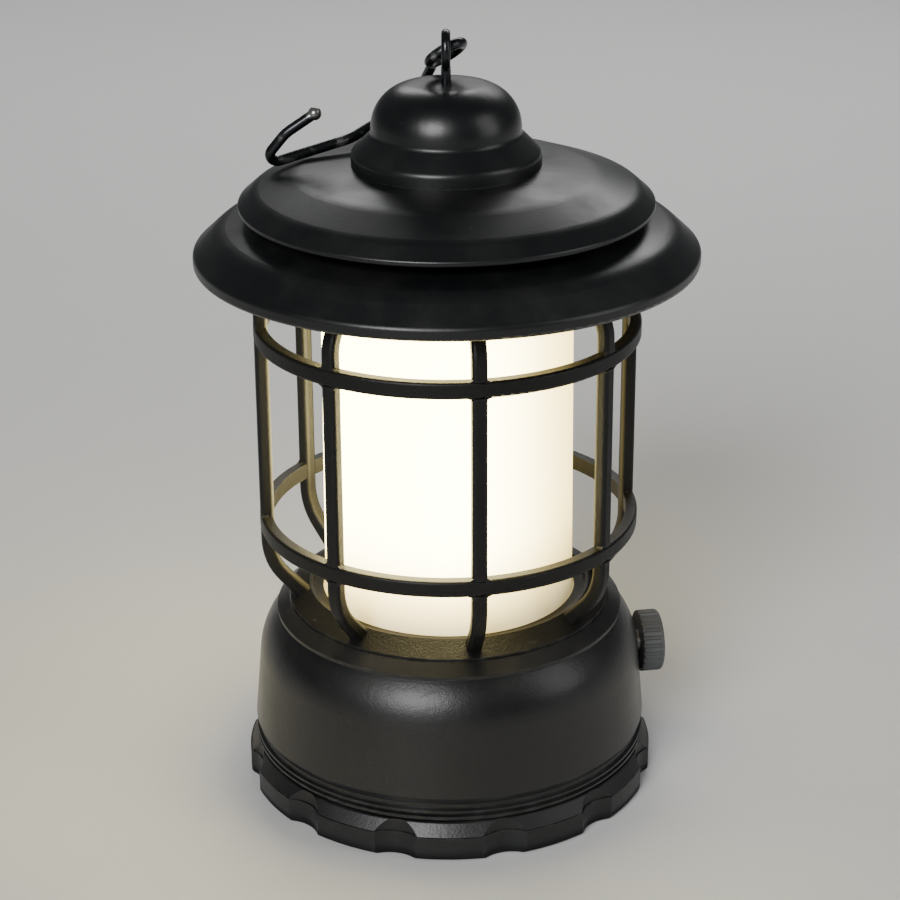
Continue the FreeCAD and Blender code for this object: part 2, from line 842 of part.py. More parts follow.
def roof_brim():
    """Lower tier: a flared skirt with a rolled lip."""
    wall = s("brim_wall")
    lip = s("brim_lip")
    edge = s("brim_radius")
    bottom = crown_bottom - s("brim_drop")
    rise = brim_top - s("brim_fall")
    bore = s("tie_radius") + s("thread_gap")
    body = turned("roof_brim", [
        (bore, crown_plate_top),
        (s("brim_neck") - wall, crown_plate_top, 3),
        (s("brim_rise_radius") - wall, rise - wall * 1.1, 9),
        (edge - lip, bottom, 0.6),
        (edge, bottom, 1.1),
        (edge, bottom + lip, 1.5),
        (s("brim_rise_radius"), rise, 9),
        (s("brim_neck"), brim_top, 3),
        (bore, brim_top),
    ])
    drill_ring(body, s("crown_screw_ring"), crown_plate_top - 1, wall + 2)
    return node(body, "roof_brim")


def roof_spacer():
    """Plain ring that holds the two tiers of the roof apart."""
    outer = s("spacer_radius")
    inner = outer - s("spacer_wall")
    body = turned("roof_spacer", [
        (inner, brim_top),
        (outer, brim_top),
        (outer, disc_under),
        (inner, disc_under),
    ])
    return node(body, "roof_spacer")


def roof_disc():
    """Upper tier: a shallow domed disc, flat beneath where it sits on the spacer."""
    wall = s("disc_wall")
    edge = s("disc_radius")
    shoulder_top = disc_bottom + s("disc_shoulder_rise")
    bore = s("tie_radius") + s("thread_gap")
    body = turned("roof_disc", [
        (bore, disc_under),
        (s("disc_mid_radius"), disc_under, 6),
        (s("disc_shoulder_radius") - wall * 0.6, shoulder_top - wall, 4),
        (edge - wall, disc_bottom, 0.5),
        (edge, disc_bottom, 0.5),
        (edge, disc_bottom + s("disc_edge"), 0.6),
        (s("disc_shoulder_radius"), shoulder_top, 6),
        (s("disc_mid_radius"), disc_mid, 14),
        (s("cap_radius"), cap_foot),
        (bore, cap_foot),
    ])
    return node(body, "roof_disc")


def cap_dome():
    """Hollow cap: short collar, flared step and rounded crown with a boss for the screw eye."""
    wall = s("cap_wall")
    radius = s("cap_radius")
    dome = s("dome_radius")
    collar_top_height = cap_foot + s("cap_collar")
    boss_bottom = dome_top - s("cap_boss_depth")
    bore = s("tie_radius") + s("thread_gap")
    boss = bore + wall
    body = turned("cap_dome", [
        (radius - wall, cap_foot),
        (radius, cap_foot),
        (radius, collar_top_height, 1.9),
        (dome, cap_step, 1.4),
        (dome, dome_crown, s("dome_shoulder")),
        (bore, dome_top),
        (bore, boss_bottom),
        (boss, boss_bottom),
        (boss, dome_top - wall),
        (dome - wall, dome_crown - wall, s("dome_shoulder") - wall),
        (dome - wall, cap_step - wall * 0.8),
        (radius - wall, collar_top_height - wall * 0.8),
    ])
    return node(body, "cap_dome")


# ---------------------------------------------------------------- hanging gear

def screw_eye():
    """Closed wire eye on a long threaded shank that ties the roof together."""
    loop = doc.addObject("Part::Torus", "eye_loop")
    bind(loop, "Radius1", s("eye_radius"))
    bind(loop, "Radius2", s("eye_wire"))
    place(loop, 0, 0, eye_centre, TO_X_AXIS)
    shank = doc.addObject("Part::Cylinder", "eye_shank")
    bottom = crown_top - s("tie_drop")
    bind(shank, "Radius", s("tie_radius"))
    bind(shank, "Height", eye_centre - s("eye_radius") - bottom)
    place(shank, 0, 0, bottom)
    eye = doc.addObject("Part::Fuse", "screw_eye")
    eye.Base = shank
    eye.Tool = loop
    eye.Placement = FreeCAD.Placement(FreeCAD.Vector(), FreeCAD.Rotation(UP, HANG_TURN))
    return node(eye, "screw_eye")


def tie_nut(label, across, height, top):
    """Hexagonal nut on the screw eye's shank, given by its upper face."""
    body = doc.addObject("PartDesign::Body", label)
    hex_prism(body, "AdditivePrism", "hexagon", across, height, 0, 0, top - height)
    tie_hole(body, top - height - 1, height + 2)
    return node(body, label)


def tie_washer():
    """Wide washer under the crown plate."""
    thickness = s("tie_washer_thickness")
    body = doc.addObject("PartDesign::Body", "tie_washer")
    rod(body, "AdditiveCylinder", "disc", s("tie_washer_radius"), thickness, 0, 0,
        crown_top - thickness)
    tie_hole(body, crown_top - thickness - 1, thickness + 2)
    return node(body, "tie_washer")


def spot(x, y, z):
    """A plain point from sizes or numbers."""
    return FreeCAD.Vector(sized(x).value, sized(y).value, sized(z).value)


def bent_wire(points, radii):
    """A path of straight runs joined by tangent arcs at its inner points."""
    edges = []
    at = points[0]
    for before, corner, after, radius in zip(points, points[1:], points[2:], radii):
        start, middle, end = rounded_corner(before, corner, after, radius)
        edges.append(Part.LineSegment(at, start).toShape())
        edges.append(Part.Arc(start, middle, end).toShape())
        at = end
    edges.append(Part.LineSegment(at, points[-1]).toShape())
    return Part.Wire(edges)


def swept(label, path, radius):
    """A round rod swept along a path, with its radius bound to the sheet."""
    spine = doc.addObject("Part::Feature", f"{label}_path")
    spine.Shape = path
    section = doc.addObject("Part::Circle", f"{label}_section")
    bind(section, "Radius", radius)
    first = path.Edges[0]
    along = first.tangentAt(first.FirstParameter)
    section.Placement = FreeCAD.Placement(first.valueAt(first.FirstParameter),
                                          FreeCAD.Rotation(UP, along))
    sweep = doc.addObject("Part::Sweep", label)
    sweep.Sections = [section]
    sweep.Spine = (spine, [f"Edge{i + 1}" for i in range(len(path.Edges))])
    sweep.Solid = True
    return sweep


def hanging_hook():
    """Wire hook laid down behind the cap: closed ring, stem, sweep round the roof, upturned tip.

    The points are in the frame of the screw eye's loop, which the hook is then turned with.
    """
    radius = s("cap_radius")
    reach = s("hook_reach")
    low = disc_bottom + s("disc_shoulder_rise") + 2.6
    ring_centre = spot(0, s("hook_ring") + 0.4, eye_centre - 1.85)
    along = FreeCAD.Vector(0, 0.9, -0.436).normalize()
    tilt = FreeCAD.Vector(math.cos(math.radians(32)), 0, math.sin(math.radians(32)))
    ring = doc.addObject("Part::Torus", "hook_ring")
    bind(ring, "Radius1", s("hook_ring"))
    bind(ring, "Radius2", s("hook_wire"))
    ring.Placement = FreeCAD.Placement(ring_centre, FreeCAD.Rotation(UP, along.cross(tilt)))
    start = ring_centre + along * SIZES["hook_ring"]
    tip_place = spot(*around(reach - 14.7, 167), low + 14.1)
    points = [
        start,
        start + FreeCAD.Vector(-3.2, 6.6, -3.0),
        spot(*around(radius + 4.0, 106.5), cap_step + 1.6),
        spot(*around(radius + 4.6, 148.2), cap_foot + 2.7),
        spot(*around(reach, 170.6), low),
        spot(*around(reach - 7.3, 169.8), low + 9.0),
        tip_place,
    ]
    stem = swept("hook_stem", bent_wire(points, (7.0, 10.0, 12.0, 2.3, 10.0)), s("hook_wire"))
    tip = doc.addObject("Part::Sphere", "hook_tip")
    bind(tip, "Radius", s("hook_tip"))
    tip.Placement.Base = tip_place
    hook = doc.addObject("Part::MultiFuse", "hanging_hook")
    hook.Shapes = [ring, stem, tip]
    hook.Placement = FreeCAD.Placement(FreeCAD.Vector(), FreeCAD.Rotation(UP, HANG_TURN))
    return node(hook, "hanging_hook")


# ---------------------------------------------------------------- dimmer

def lay_outwards(body, start):
    """Lay a body that was made along Z onto the dimmer's axis, from a distance outwards."""
    place(body, start, 0, dimmer_height, TO_X_AXIS)


def dimmer_knob():
    """Ribbed knob with a rounded outer edge and a bore for the shaft."""
    radius = s("knob_radius")
    length = s("knob_length")
    bore = s("dimmer_shaft_radius") + s("running_gap")
    body = turned("dimmer_knob", [
        (bore, 0),
        (radius, 0, 0.4),
        (radius, length, s("knob_edge")),
        (0, length),
        (0, length - s("knob_face")),
        (bore, length - s("knob_face")),
    ])
    groove_radius = radius * 0.27 * (2 * math.pi / KNOB_RIBS)
    groove = rod(body, "SubtractiveCylinder", "rib_groove", groove_radius,
                 length - s("knob_edge"), radius + groove_radius - s("knob_rib_depth"))
    round_about(body, "rib_grooves", [groove], KNOB_RIBS)
    lay_outwards(body, knob_seat)
    return node(body, "dimmer_knob")


def dimmer_shaft():
    """Shaft from inside the dimmer out into the knob."""
    start = bracket_place - s("dimmer_shaft_depth") + s("running_gap")
    end = knob_seat + s("knob_length") - s("knob_face") - s("running_gap")
    body = doc.addObject("PartDesign::Body", "dimmer_shaft")
    rod(body, "AdditiveCylinder", "shaft", s("dimmer_shaft_radius"), end - start)
    lay_outwards(body, start)
    return node(body, "dimmer_shaft")


def dimmer_body():
    """Round control behind the bracket with a threaded bush through it."""
    depth = s("dimmer_can_depth")
    bush = s("bracket_thickness") + s("dimmer_bush_length")
    body = doc.addObject("PartDesign::Body", "dimmer_body")
    rod(body, "AdditiveCylinder", "can", s("dimmer_can_radius"), depth)
    rod(body, "AdditiveCylinder", "bush", s("dimmer_bush_radius"), depth + bush)
    rod(body, "SubtractiveCylinder", "shaft_bore", s("dimmer_shaft_radius") + s("running_gap"),
        s("dimmer_shaft_depth") + bush + 1, 0, 0, depth - s("dimmer_shaft_depth"))
    lay_outwards(body, bracket_place - depth)
    return node(body, "dimmer_body")


def dimmer_nut():
    """Hexagonal nut that clamps the control to its bracket."""
    height = s("dimmer_nut_height")
    body = doc.addObject("PartDesign::Body", "dimmer_nut")
    hex_prism(body, "AdditivePrism", "hexagon", s("dimmer_nut_across"), height)
    rod(body, "SubtractiveCylinder", "thread", s("dimmer_bush_radius") + s("thread_gap"),
        height + 2, 0, 0, -1)
    lay_outwards(body, bracket_place + s("bracket_thickness"))
    return node(body, "dimmer_nut")


def bracket_screw_x():
    """Distance of the bracket's screws from the lantern's axis."""
    return bracket_place - s("bracket_tab") / 2


def bracket_screw_y():
    """Distance of the bracket's screws to either side."""
    return s("bracket_half") * 0.6


def dimmer_bracket():
    """Angle plate under the deck that carries the dimmer."""
    half = s("bracket_half")
    thickness = s("bracket_thickness")
    tab = s("bracket_tab")
    bottom = dimmer_height - half
    body = doc.addObject("PartDesign::Body", "dimmer_bracket")
    box(body, "AdditiveBox", "plate", thickness, half * 2, deck_bottom - bottom,
        bracket_place, -half, bottom)
    box(body, "AdditiveBox", "tab", tab, half * 2, thickness,
        bracket_place - tab, -half, deck_bottom - thickness)
    rod(body, "SubtractiveCylinder", "bush_hole", s("dimmer_bush_radius") + s("thread_gap"),
        thickness * 3, bracket_place - thickness, 0, dimmer_height, TO_X_AXIS)
    for side in (1, -1):
        drill(body, bracket_screw_x(), bracket_screw_y() * side, deck_bottom - thickness * 2,
              thickness * 3)
    return node(body, "dimmer_bracket")


# ---------------------------------------------------------------- batteries and electronics

def lead_place_y():
    """Distance of the battery leads from the middle: over the end contacts."""
    return tray_end - s("contact_thickness") / 2


def battery_tray():
    """Open-bottomed box for the cells with four screw ears and four pegs for the board."""
    wall = s("tray_wall")
    bottom = tray_bottom
    half_x = tray_inner_half + wall
    half_y = tray_end + wall
    body = doc.addObject("PartDesign::Body", "battery_tray")
    box(body, "AdditiveBox", "block", half_x * 2, half_y * 2, tray_top - bottom,
        -half_x, -half_y, bottom)
    for side_y in (1, -1):
        box(body, "AdditiveBox", "ears", (ear_x + s("boss_radius")) * 2, s("boss_radius") * 2, wall,
            -ear_x - s("boss_radius"), s("ear_spread") * side_y - s("boss_radius"), tray_top - wall)
    for side_x, side_y in CORNERS:
        x, y = peg_place(side_x, side_y)
        rod(body, "AdditiveCylinder", "peg", s("peg_radius"), board_bottom - tray_top, x, y, tray_top)
        rod(body, "AdditiveCylinder", "peg_tip", s("peg_tip_radius"),
            board_top - tray_top + s("peg_tip_radius") / 2, x, y, tray_top)
    box(body, "SubtractiveBox", "hollow", tray_inner_half * 2, tray_end * 2,
        tray_top - wall - bottom + 1, -tray_inner_half, -tray_end, bottom - 1)
    for side_x, side_y in CORNERS:
        drill(body, ear_x * side_x, s("ear_spread") * side_y, tray_top - wall * 2, wall * 3)
    for side in (1, -1):
        rod(body, "SubtractiveCylinder", "lead_hole", s("lead_radius") + s("loose_gap"), wall * 3,
            s("cell_pitch") * -side, lead_place_y() * side, contact_top)
    return node(body, "battery_tray")


def peg_place(side_x, side_y):
    """Where a peg of the tray stands."""
    x = (s("board_width") / 2 - s("peg_radius") * 1.4) * side_x
    y = s("board_length") * 0.23 * side_y
    return x, y


def batteries():
    """Three cells side by side, the middle one reversed."""
    body = doc.addObject("PartDesign::Body", "batteries")
    for index in range(CELL_COUNT):
        side, turn = (1, TO_Y_AXIS) if index % 2 == 0 else (-1, TO_MINUS_Y_AXIS)
        x = s("cell_pitch") * (index - 1)
        foot = (tray_end - s("contact_thickness") - s("leaf_rise")) * -side
        rod(body, "AdditiveCylinder", "cell", s("cell_radius"), s("cell_length"),
            x, foot, cell_height, turn)
        rod(body, "AdditiveCylinder", "nub", s("nub_radius"), s("cell_length") + s("nub_length"),
            x, foot, cell_height, turn)
    return node(body, "batteries")


def contact_plates():
    """Two single and two joining end contacts that put the cells in series."""
    thick = s("contact_thickness")
    single = s("contact_width")
    double = s("contact_width") + s("cell_pitch")
    foot = contact_top - s("contact_height")
    body = doc.addObject("PartDesign::Body", "contact_plates")
    for side in (1, -1):
        y = tray_end - thick if side == 1 else -tray_end
        outer = s("cell_pitch") * -side - single / 2
        inner = -single / 2 if side == 1 else -s("cell_pitch") - single / 2
        box(body, "AdditiveBox", "single", single, thick, s("contact_height"), outer, y, foot)
        box(body, "AdditiveBox", "joining", double, thick, s("contact_height"), inner, y, foot)
    return node(body, "contact_plates")


def contact_springs():
    """Bowed leaf springs between the contacts and the flat ends of the cells."""
    rise = s("leaf_rise")
    leaf = s("leaf_thickness")
    body = doc.addObject("PartDesign::Body", "contact_springs")
    for index in range(CELL_COUNT):
        side = 1 if index % 2 == 0 else -1
        x = s("cell_pitch") * (index - 1)
        wall = (tray_end - s("contact_thickness")) * -side

        def at(dx, dy):
            return x + dx, wall + dy * side

        sketch = outline(body, f"leaf_{index}", "XY_Plane", [
            at(-4.2, 0), at(-2.3, 0), at(-0.9, rise - leaf), at(0.9, rise - leaf), at(2.3, 0),
            at(4.2, 0), at(4.2, leaf), at(2.5, leaf), at(1.1, rise), at(-1.1, rise),
            at(-2.5, leaf), at(-4.2, leaf),
        ])
        pad = body.newObject("PartDesign::Pad", f"leaf_pad_{index}")
        pad.Profile = sketch
        pad.Midplane = True
        bind(pad, "Length", s("leaf_width"))
        body.Tip = pad
    place(body, 0, 0, cell_height)
    return node(body, "contact_springs")


def driver_board():
    """Circuit board on the tray's pegs."""
    length = s("board_length")
    width = s("board_width")
    body = doc.addObject("PartDesign::Body", "driver_board")
    box(body, "AdditiveBox", "board", width, length, s("board_thickness"),
        -width / 2, -length / 2, board_bottom)
    for side_x, side_y in CORNERS:
        x, y = peg_place(side_x, side_y)
        rod(body, "SubtractiveCylinder", "peg_hole", s("peg_tip_radius") + s("running_gap"),
            s("board_thickness") + 2, x, y, board_bottom - 1)
    return node(body, "driver_board")


def board_parts():
    """Coil, capacitor, controller and two power transistors on the board."""
    body = doc.addObject("PartDesign::Body", "board_parts")
    rod(body, "AdditiveCylinder", "coil", 5.0, 4.2, -9.0, -16.5, board_top)
    rod(body, "AdditiveCylinder", "capacitor", 2.6, 4.0, 9.5, -17.0, board_top)
    box(body, "AdditiveBox", "controller", 8.0, 6.0, 1.5, -4.0, 11.0, board_top)
    for side in (1, -1):
        box(body, "AdditiveBox", "transistor", 4.0, 3.0, 1.2, 10.0 * side - 2.0, 18.0, board_top)
    return node(body, "board_parts")


def leads(label, routes, radius):
    """Insulated leads that follow routes of points, each bent to a small radius."""
    tubes = []
    for index, route in enumerate(routes):
        path = bent_wire([spot(*point) for point in route], [radius] * (len(route) - 2))
        tubes.append(swept(f"{label}_{index}", path, s("lead_radius")))
    group = doc.addObject("Part::Compound", label)
    group.Links = tubes
    return node(group, label)


def light_leads():
    """Pair of leads from the board up the post's bore and over onto the link board."""
    link_top = post_top + s("link_board_thickness")
    routes = []
    for side in (1, -1):
        inner = s("lead_spread") * side
        outer = (s("post_half") - 1) * side
        routes.append([(inner, 0, board_top), (inner, 0, link_top + s("lead_spread")),
                       (outer, 0, link_top + s("lead_spread")), (outer, 0, link_top)])
    return leads("light_leads", routes, 1.2)


def battery_leads():
    """Pair of leads from the single contacts over the ends of the board."""
    routes = []
    for side in (1, -1):
        x = s("cell_pitch") * -side
        y = lead_place_y() * side
        back = y - s("lead_spread") * 1.6 * side
        over = board_top + s("lead_spread") * 1.2
        routes.append([(x, y, contact_top), (x, y, over), (x, back, over), (x, back, board_top)])
    return leads("battery_leads", routes, 1.3)


def dimmer_leads():
    """Three leads from the board to the back of the dimmer."""
    start = s("board_width") / 2 - s("lead_spread")
    back = bracket_place - s("dimmer_can_depth")
    over = board_top + s("lead_spread")
    terminal = dimmer_height + s("lead_spread")
    routes = []
    for index in (-1, 0, 1):
        y = s("lead_spread") * index
        drop = back - s("lead_spread") * 2
        routes.append([(start, y, board_top), (start, y, over), (drop, y, over),
                       (drop, y, terminal), (back, y, terminal)])
    return leads("dimmer_leads", routes, 1.1)


# ---------------------------------------------------------------- assembly

battery_cover()
foot_pads()
cover_seal()
base_housing()
lamp_base()
cage_collar()
cage_uprights()
for hoop_label, hoop_bottom in zip(("cage_hoop_lower", "cage_hoop_upper"), hoop_bottoms()):
    cage_hoop(hoop_label, hoop_bottom)
cage_crown_ring()
diffuser()
light_post()
light_strips()
light_chips()
light_link_board()
crown_plate()
roof_brim()
roof_spacer()
roof_disc()
cap_dome()
screw_eye()
tie_nut("eye_nut", s("eye_nut_across"), s("eye_nut_height"), dome_top - s("cap_boss_depth"))
tie_nut("tie_nut", s("tie_nut_across"), s("tie_nut_height"), crown_top - s("tie_washer_thickness"))
tie_washer()
hanging_hook()
dimmer_knob()
dimmer_shaft()
dimmer_body()
dimmer_nut()
dimmer_bracket()
battery_tray()
batteries()
contact_plates()
contact_springs()
driver_board()
board_parts()
light_leads()
battery_leads()
dimmer_leads()
screw_ring("deck_screws", deck_screw_ring, deck_bottom,
           s("housing_wall") + s("lamp_base_height") + s("collar_lip"))
screw_ring("post_screws", s("post_screw_ring"), deck_bottom,
           s("housing_wall") + s("lamp_base_height") + s("post_flange_height") * 0.6)
screw_ring("crown_screws", s("crown_screw_ring"), crown_bottom,
           s("crown_height") + s("crown_plate_thickness") + s("brim_wall"))
screw_set("tray_screws", [(ear_x * side_x, s("ear_spread") * side_y) for side_x, side_y in CORNERS],
          tray_top - s("tray_wall"), s("tray_wall") * 4)
screw_set("bracket_screws", [(bracket_screw_x(), bracket_screw_y() * side) for side in (1, -1)],
          deck_bottom - s("bracket_thickness"), s("bracket_thickness") * 1.8)

doc.recompute()
for item in doc.Objects:
    if "Invalid" in item.State or "Error" in item.State:
        raise RuntimeError(f"{item.Label} failed: {item.State}")
for item in NODES:
    if item.Shape.isNull() or not item.Shape.isValid():
        raise RuntimeError(f"{item.Label} has no valid shape")

os.makedirs("parts", exist_ok=True)
for item in NODES:
    item.Shape.exportStep(f"parts/{item.Label}.step")
    print(f"{item.Label}: {len(item.Shape.Solids)} solids, {item.Shape.Volume:.1f} mm3")
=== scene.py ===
"""Camping lantern: finishes, cast details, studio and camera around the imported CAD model.

Lengths are metres.  The origin is the centre of the foot on the ground, +Z is up, the front of the
lantern is -Y and the dimmer knob points along +X.
"""
import json
import math

import bpy
from bpy.props import FloatProperty, FloatVectorProperty, IntProperty, PointerProperty
from mathutils import Matrix, Vector

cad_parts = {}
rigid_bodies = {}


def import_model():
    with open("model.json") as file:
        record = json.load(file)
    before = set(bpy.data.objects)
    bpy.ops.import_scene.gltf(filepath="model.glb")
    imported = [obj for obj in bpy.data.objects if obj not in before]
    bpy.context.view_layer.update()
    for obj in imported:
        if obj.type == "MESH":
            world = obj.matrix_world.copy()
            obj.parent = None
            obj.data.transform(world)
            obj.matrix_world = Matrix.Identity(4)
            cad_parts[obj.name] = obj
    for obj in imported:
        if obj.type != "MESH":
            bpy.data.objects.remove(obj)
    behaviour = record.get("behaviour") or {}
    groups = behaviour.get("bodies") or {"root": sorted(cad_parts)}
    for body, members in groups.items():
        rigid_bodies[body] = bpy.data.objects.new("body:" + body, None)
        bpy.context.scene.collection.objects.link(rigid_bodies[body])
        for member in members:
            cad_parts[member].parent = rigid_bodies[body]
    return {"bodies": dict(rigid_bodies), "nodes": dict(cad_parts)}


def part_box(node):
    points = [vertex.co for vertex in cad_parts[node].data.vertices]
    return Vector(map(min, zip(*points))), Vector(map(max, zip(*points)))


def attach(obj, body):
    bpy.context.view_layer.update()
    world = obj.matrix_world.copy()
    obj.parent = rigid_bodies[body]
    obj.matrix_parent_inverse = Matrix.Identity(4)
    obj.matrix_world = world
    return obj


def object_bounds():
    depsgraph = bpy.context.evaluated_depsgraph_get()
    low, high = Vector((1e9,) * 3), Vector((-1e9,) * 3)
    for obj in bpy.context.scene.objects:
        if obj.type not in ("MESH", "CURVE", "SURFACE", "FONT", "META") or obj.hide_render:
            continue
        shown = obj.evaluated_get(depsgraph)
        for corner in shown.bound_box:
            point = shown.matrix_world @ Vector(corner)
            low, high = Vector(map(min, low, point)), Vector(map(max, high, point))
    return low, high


bl_info = {
    "name": "Camping Lantern",
    "version": (1, 0, 0),
    "blender": (4, 5, 0),
    "location": "View3D > Sidebar > Lantern",
    "description": "Finishes, small details and studio for a battery camping lantern",
    "category": "Object",
}

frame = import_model()
cad_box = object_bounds()
nodes = frame["nodes"]
MM = 0.001
BARS = 8
WELD = 0.002 * MM
SHARP_ANGLE = math.radians(35)
TIP_RUBBED = (3.6 * MM, 2.2 * MM)
TIP_SPAN = 24 * MM
FLOOR_CLEAR = 4 * MM


# ---------------------------------------------------------------- settings


def colour(name, text, default):
    return FloatVectorProperty(name=name, description=text, subtype="COLOR", size=3,
                               min=0.0, max=1.0, default=default)


def length(name, text, default):
    return FloatProperty(name=name, description=text, default=default, min=0.0,
                         unit="LENGTH", precision=4)


def share(name, text, default):
    return FloatProperty(name=name, description=text, default=default, min=0.0, max=1.0,
                         subtype="FACTOR")


class LanternFinish(bpy.types.PropertyGroup):
    """Colours and wear of the lantern's finishes."""

    shell_black: colour("Shell black", "Moulded plastic of the base", (0.0030, 0.0032, 0.0036))
    cage_black: colour("Cage black", "Powder coat of the cage", (0.0022, 0.0022, 0.0021))
    roof_black: colour("Roof black", "Satin paint of the roof", (0.0026, 0.0030, 0.0033))
    worn_edge: colour("Worn edge", "Colour that rubbed edges turn", (0.075, 0.077, 0.08))
    dust: colour("Dust", "Colour of settled dust", (0.19, 0.18, 0.16))
    knob_grey: colour("Knob grey", "Moulded plastic of the dimmer knob", (0.05, 0.052, 0.055))
    rubber: colour("Rubber", "Feet and seal", (0.02, 0.02, 0.021))
    glow_white: colour("Glow white", "Light through the brightest part", (1.0, 0.84, 0.38))
    glow_amber: colour("Glow amber", "Light through the dimmest part", (1.0, 0.74, 0.20))
    glow_strength: FloatProperty(name="Glow", description="Brightness of the lit diffuser",
                                 default=22.0, min=0.0)
    grain: length("Grain", "Size of the moulded grain", 0.00045)
    peel: length("Paint texture", "Size of the paint's orange peel", 0.0011)
    wear: share("Wear", "How much the edges are rubbed", 0.45)
    dustiness: share("Dustiness", "How much dust has settled", 0.35)


class LanternDetail(bpy.types.PropertyGroup):
    """Sizes of the small details added to the CAD pieces."""

    fillet: length("Cage fillet", "Radius of the fillets where bars and hoops cross", 0.0014)
    fillet_depth: length("Fillet depth", "Radial depth of the cage's fillets", 0.0017)
    fillet_steps: IntProperty(name="Fillet steps", description="Facets round one fillet",
                              default=48, min=12, max=96)
    pointer_width: length("Pointer width", "Width of the line on the knob", 0.0009)
    pointer_length: length("Pointer length", "Length of the line on the knob", 0.0042)
    pointer_rise: length("Pointer rise", "How far the line stands out", 0.00025)
    mark_width: length("Mark width", "Stroke of the marks under the cover", 0.0012)
    mark_height: length("Mark height", "How far the marks under the cover stand out", 0.00035)
    mark_ring: length("Mark ring", "Radius of the marks' circle under the cover", 0.030)


class LanternStudio(bpy.types.PropertyGroup):
    """Floor, lights and camera."""

    floor: colour("Floor", "Colour of the studio floor", (0.70, 0.70, 0.69))
    backdrop: colour("Backdrop", "Colour of the surroundings", (0.80, 0.82, 0.85))
    backdrop_strength: FloatProperty(name="Backdrop light", default=0.12, min=0.0,
                                     description="Light that the surroundings cast")
    backdrop_seen: FloatProperty(name="Backdrop seen", default=0.62, min=0.0,
                                 description="Brightness of the surroundings to the camera")
    floor_radius: length("Floor radius", "Radius of the floor", 6.0)
    key_power: FloatProperty(name="Key light", description="Power of the main softbox",
                             default=3.0, min=0.0)
    fill_power: FloatProperty(name="Fill light", description="Power of the fill softbox",
                              default=2.5, min=0.0, unit="POWER")
    rim_power: FloatProperty(name="Rim light", description="Power of the light behind",
                             default=4.0, min=0.0, unit="POWER")
    lens: FloatProperty(name="Lens", description="Focal length in millimetres", default=95.46)
    distance: length("Camera distance", "From the lantern's axis, along the ground", 0.58565)
    camera_height: length("Camera height", "Above the ground", 0.33494)
    azimuth: FloatProperty(name="Azimuth", description="Camera's turn from the front",
                           subtype="ANGLE", default=math.radians(-9.0))
    tilt: FloatProperty(name="Tilt", description="Camera's tilt up from straight down",
                        subtype="ANGLE", default=math.radians(67.52))
    pan: FloatProperty(name="Pan", description="Camera's turn off the lantern's axis",
                       subtype="ANGLE", default=math.radians(-0.05))
    roll: FloatProperty(name="Roll", description="Camera's turn about its own axis",
                        subtype="ANGLE", default=math.radians(-0.309))


# ---------------------------------------------------------------- node tools


class Web:
    """A node tree being wired: adds nodes, sets their sockets and joins them."""

    def __init__(self, tree):
        self.tree = tree
        tree.nodes.clear()

    def add(self, kind, settings=None, **sockets):
        """Adds a node.  A socket is given by its name with _ for a space, or in[number]."""
        made = self.tree.nodes.new("ShaderNode" + kind)
        for key, value in (settings or {}).items():
            setattr(made, key, value)
        for key, value in sockets.items():
            if key.startswith("in") and key[2:].isdigit():
                target = made.inputs[int(key[2:])]
            else:
                target = made.inputs[key.replace("_", " ")]
            self.feed(target, value)
        return made

    def feed(self, target, value):
        """Joins a socket or a node's first output to a socket, or sets the socket's number."""
        if isinstance(value, bpy.types.Node):
            value = value.outputs[0]
        if isinstance(value, bpy.types.NodeSocket):
            self.tree.links.new(value, target)
        elif target.type == "RGBA":
            target.default_value = (*value, 1.0)
        else:
            target.default_value = value

    def maths(self, operation, first, second=0.0, third=0.0, clamp=False):
        return self.add("Math", {"operation": operation, "use_clamp": clamp},
                        in0=first, in1=second, in2=third)

    def ramp(self, value, low, high, to_low=0.0, to_high=1.0):
        """Smooth step of a value from one range to another."""
        return self.add("MapRange", {"interpolation_type": "SMOOTHSTEP"}, Value=value,
                        From_Min=low, From_Max=high, To_Min=to_low, To_Max=to_high)

    def blend(self, amount, first, second):
        """Mix of two colours."""
        made = self.add("Mix", {"data_type": "RGBA"})
        self.feed(made.inputs["Factor"], amount)
        self.feed(made.inputs[6], first)
        self.feed(made.inputs[7], second)
        return made.outputs[2]

    def place(self):
        """The point in the object's own frame."""
        return self.add("TexCoord").outputs["Object"]

    def parts(self, vector):
        """X, Y and Z of a vector."""
        return self.add("SeparateXYZ", Vector=vector).outputs

    def noise(self, vector, scale, detail=3.0, rough=0.5):
        return self.add("TexNoise", Vector=vector, Scale=scale, Detail=detail,
                        Roughness=rough).outputs["Fac"]

    def group(self, name, **sockets):
        """Places a shared effect."""
        made = self.tree.nodes.new("ShaderNodeGroup")
        made.node_tree = bpy.data.node_groups[name]
        for key, value in sockets.items():
            self.feed(made.inputs[key.replace("_", " ")], value)
        return made


def effect(name, inputs, outputs):
    """A new shader node group with its sockets, as a web, and its input node and output node."""
    tree = bpy.data.node_groups.new(name, "ShaderNodeTree")
    for label, default, low, high in inputs:
        made = tree.interface.new_socket(name=label, in_out="INPUT", socket_type="NodeSocketFloat")
        made.default_value, made.min_value, made.max_value = default, low, high
    for label in outputs:
        tree.interface.new_socket(name=label, in_out="OUTPUT", socket_type="NodeSocketFloat")
    web = Web(tree)
    entry = tree.nodes.new("NodeGroupInput")
    leave = tree.nodes.new("NodeGroupOutput")
    return web, entry.outputs, leave.inputs


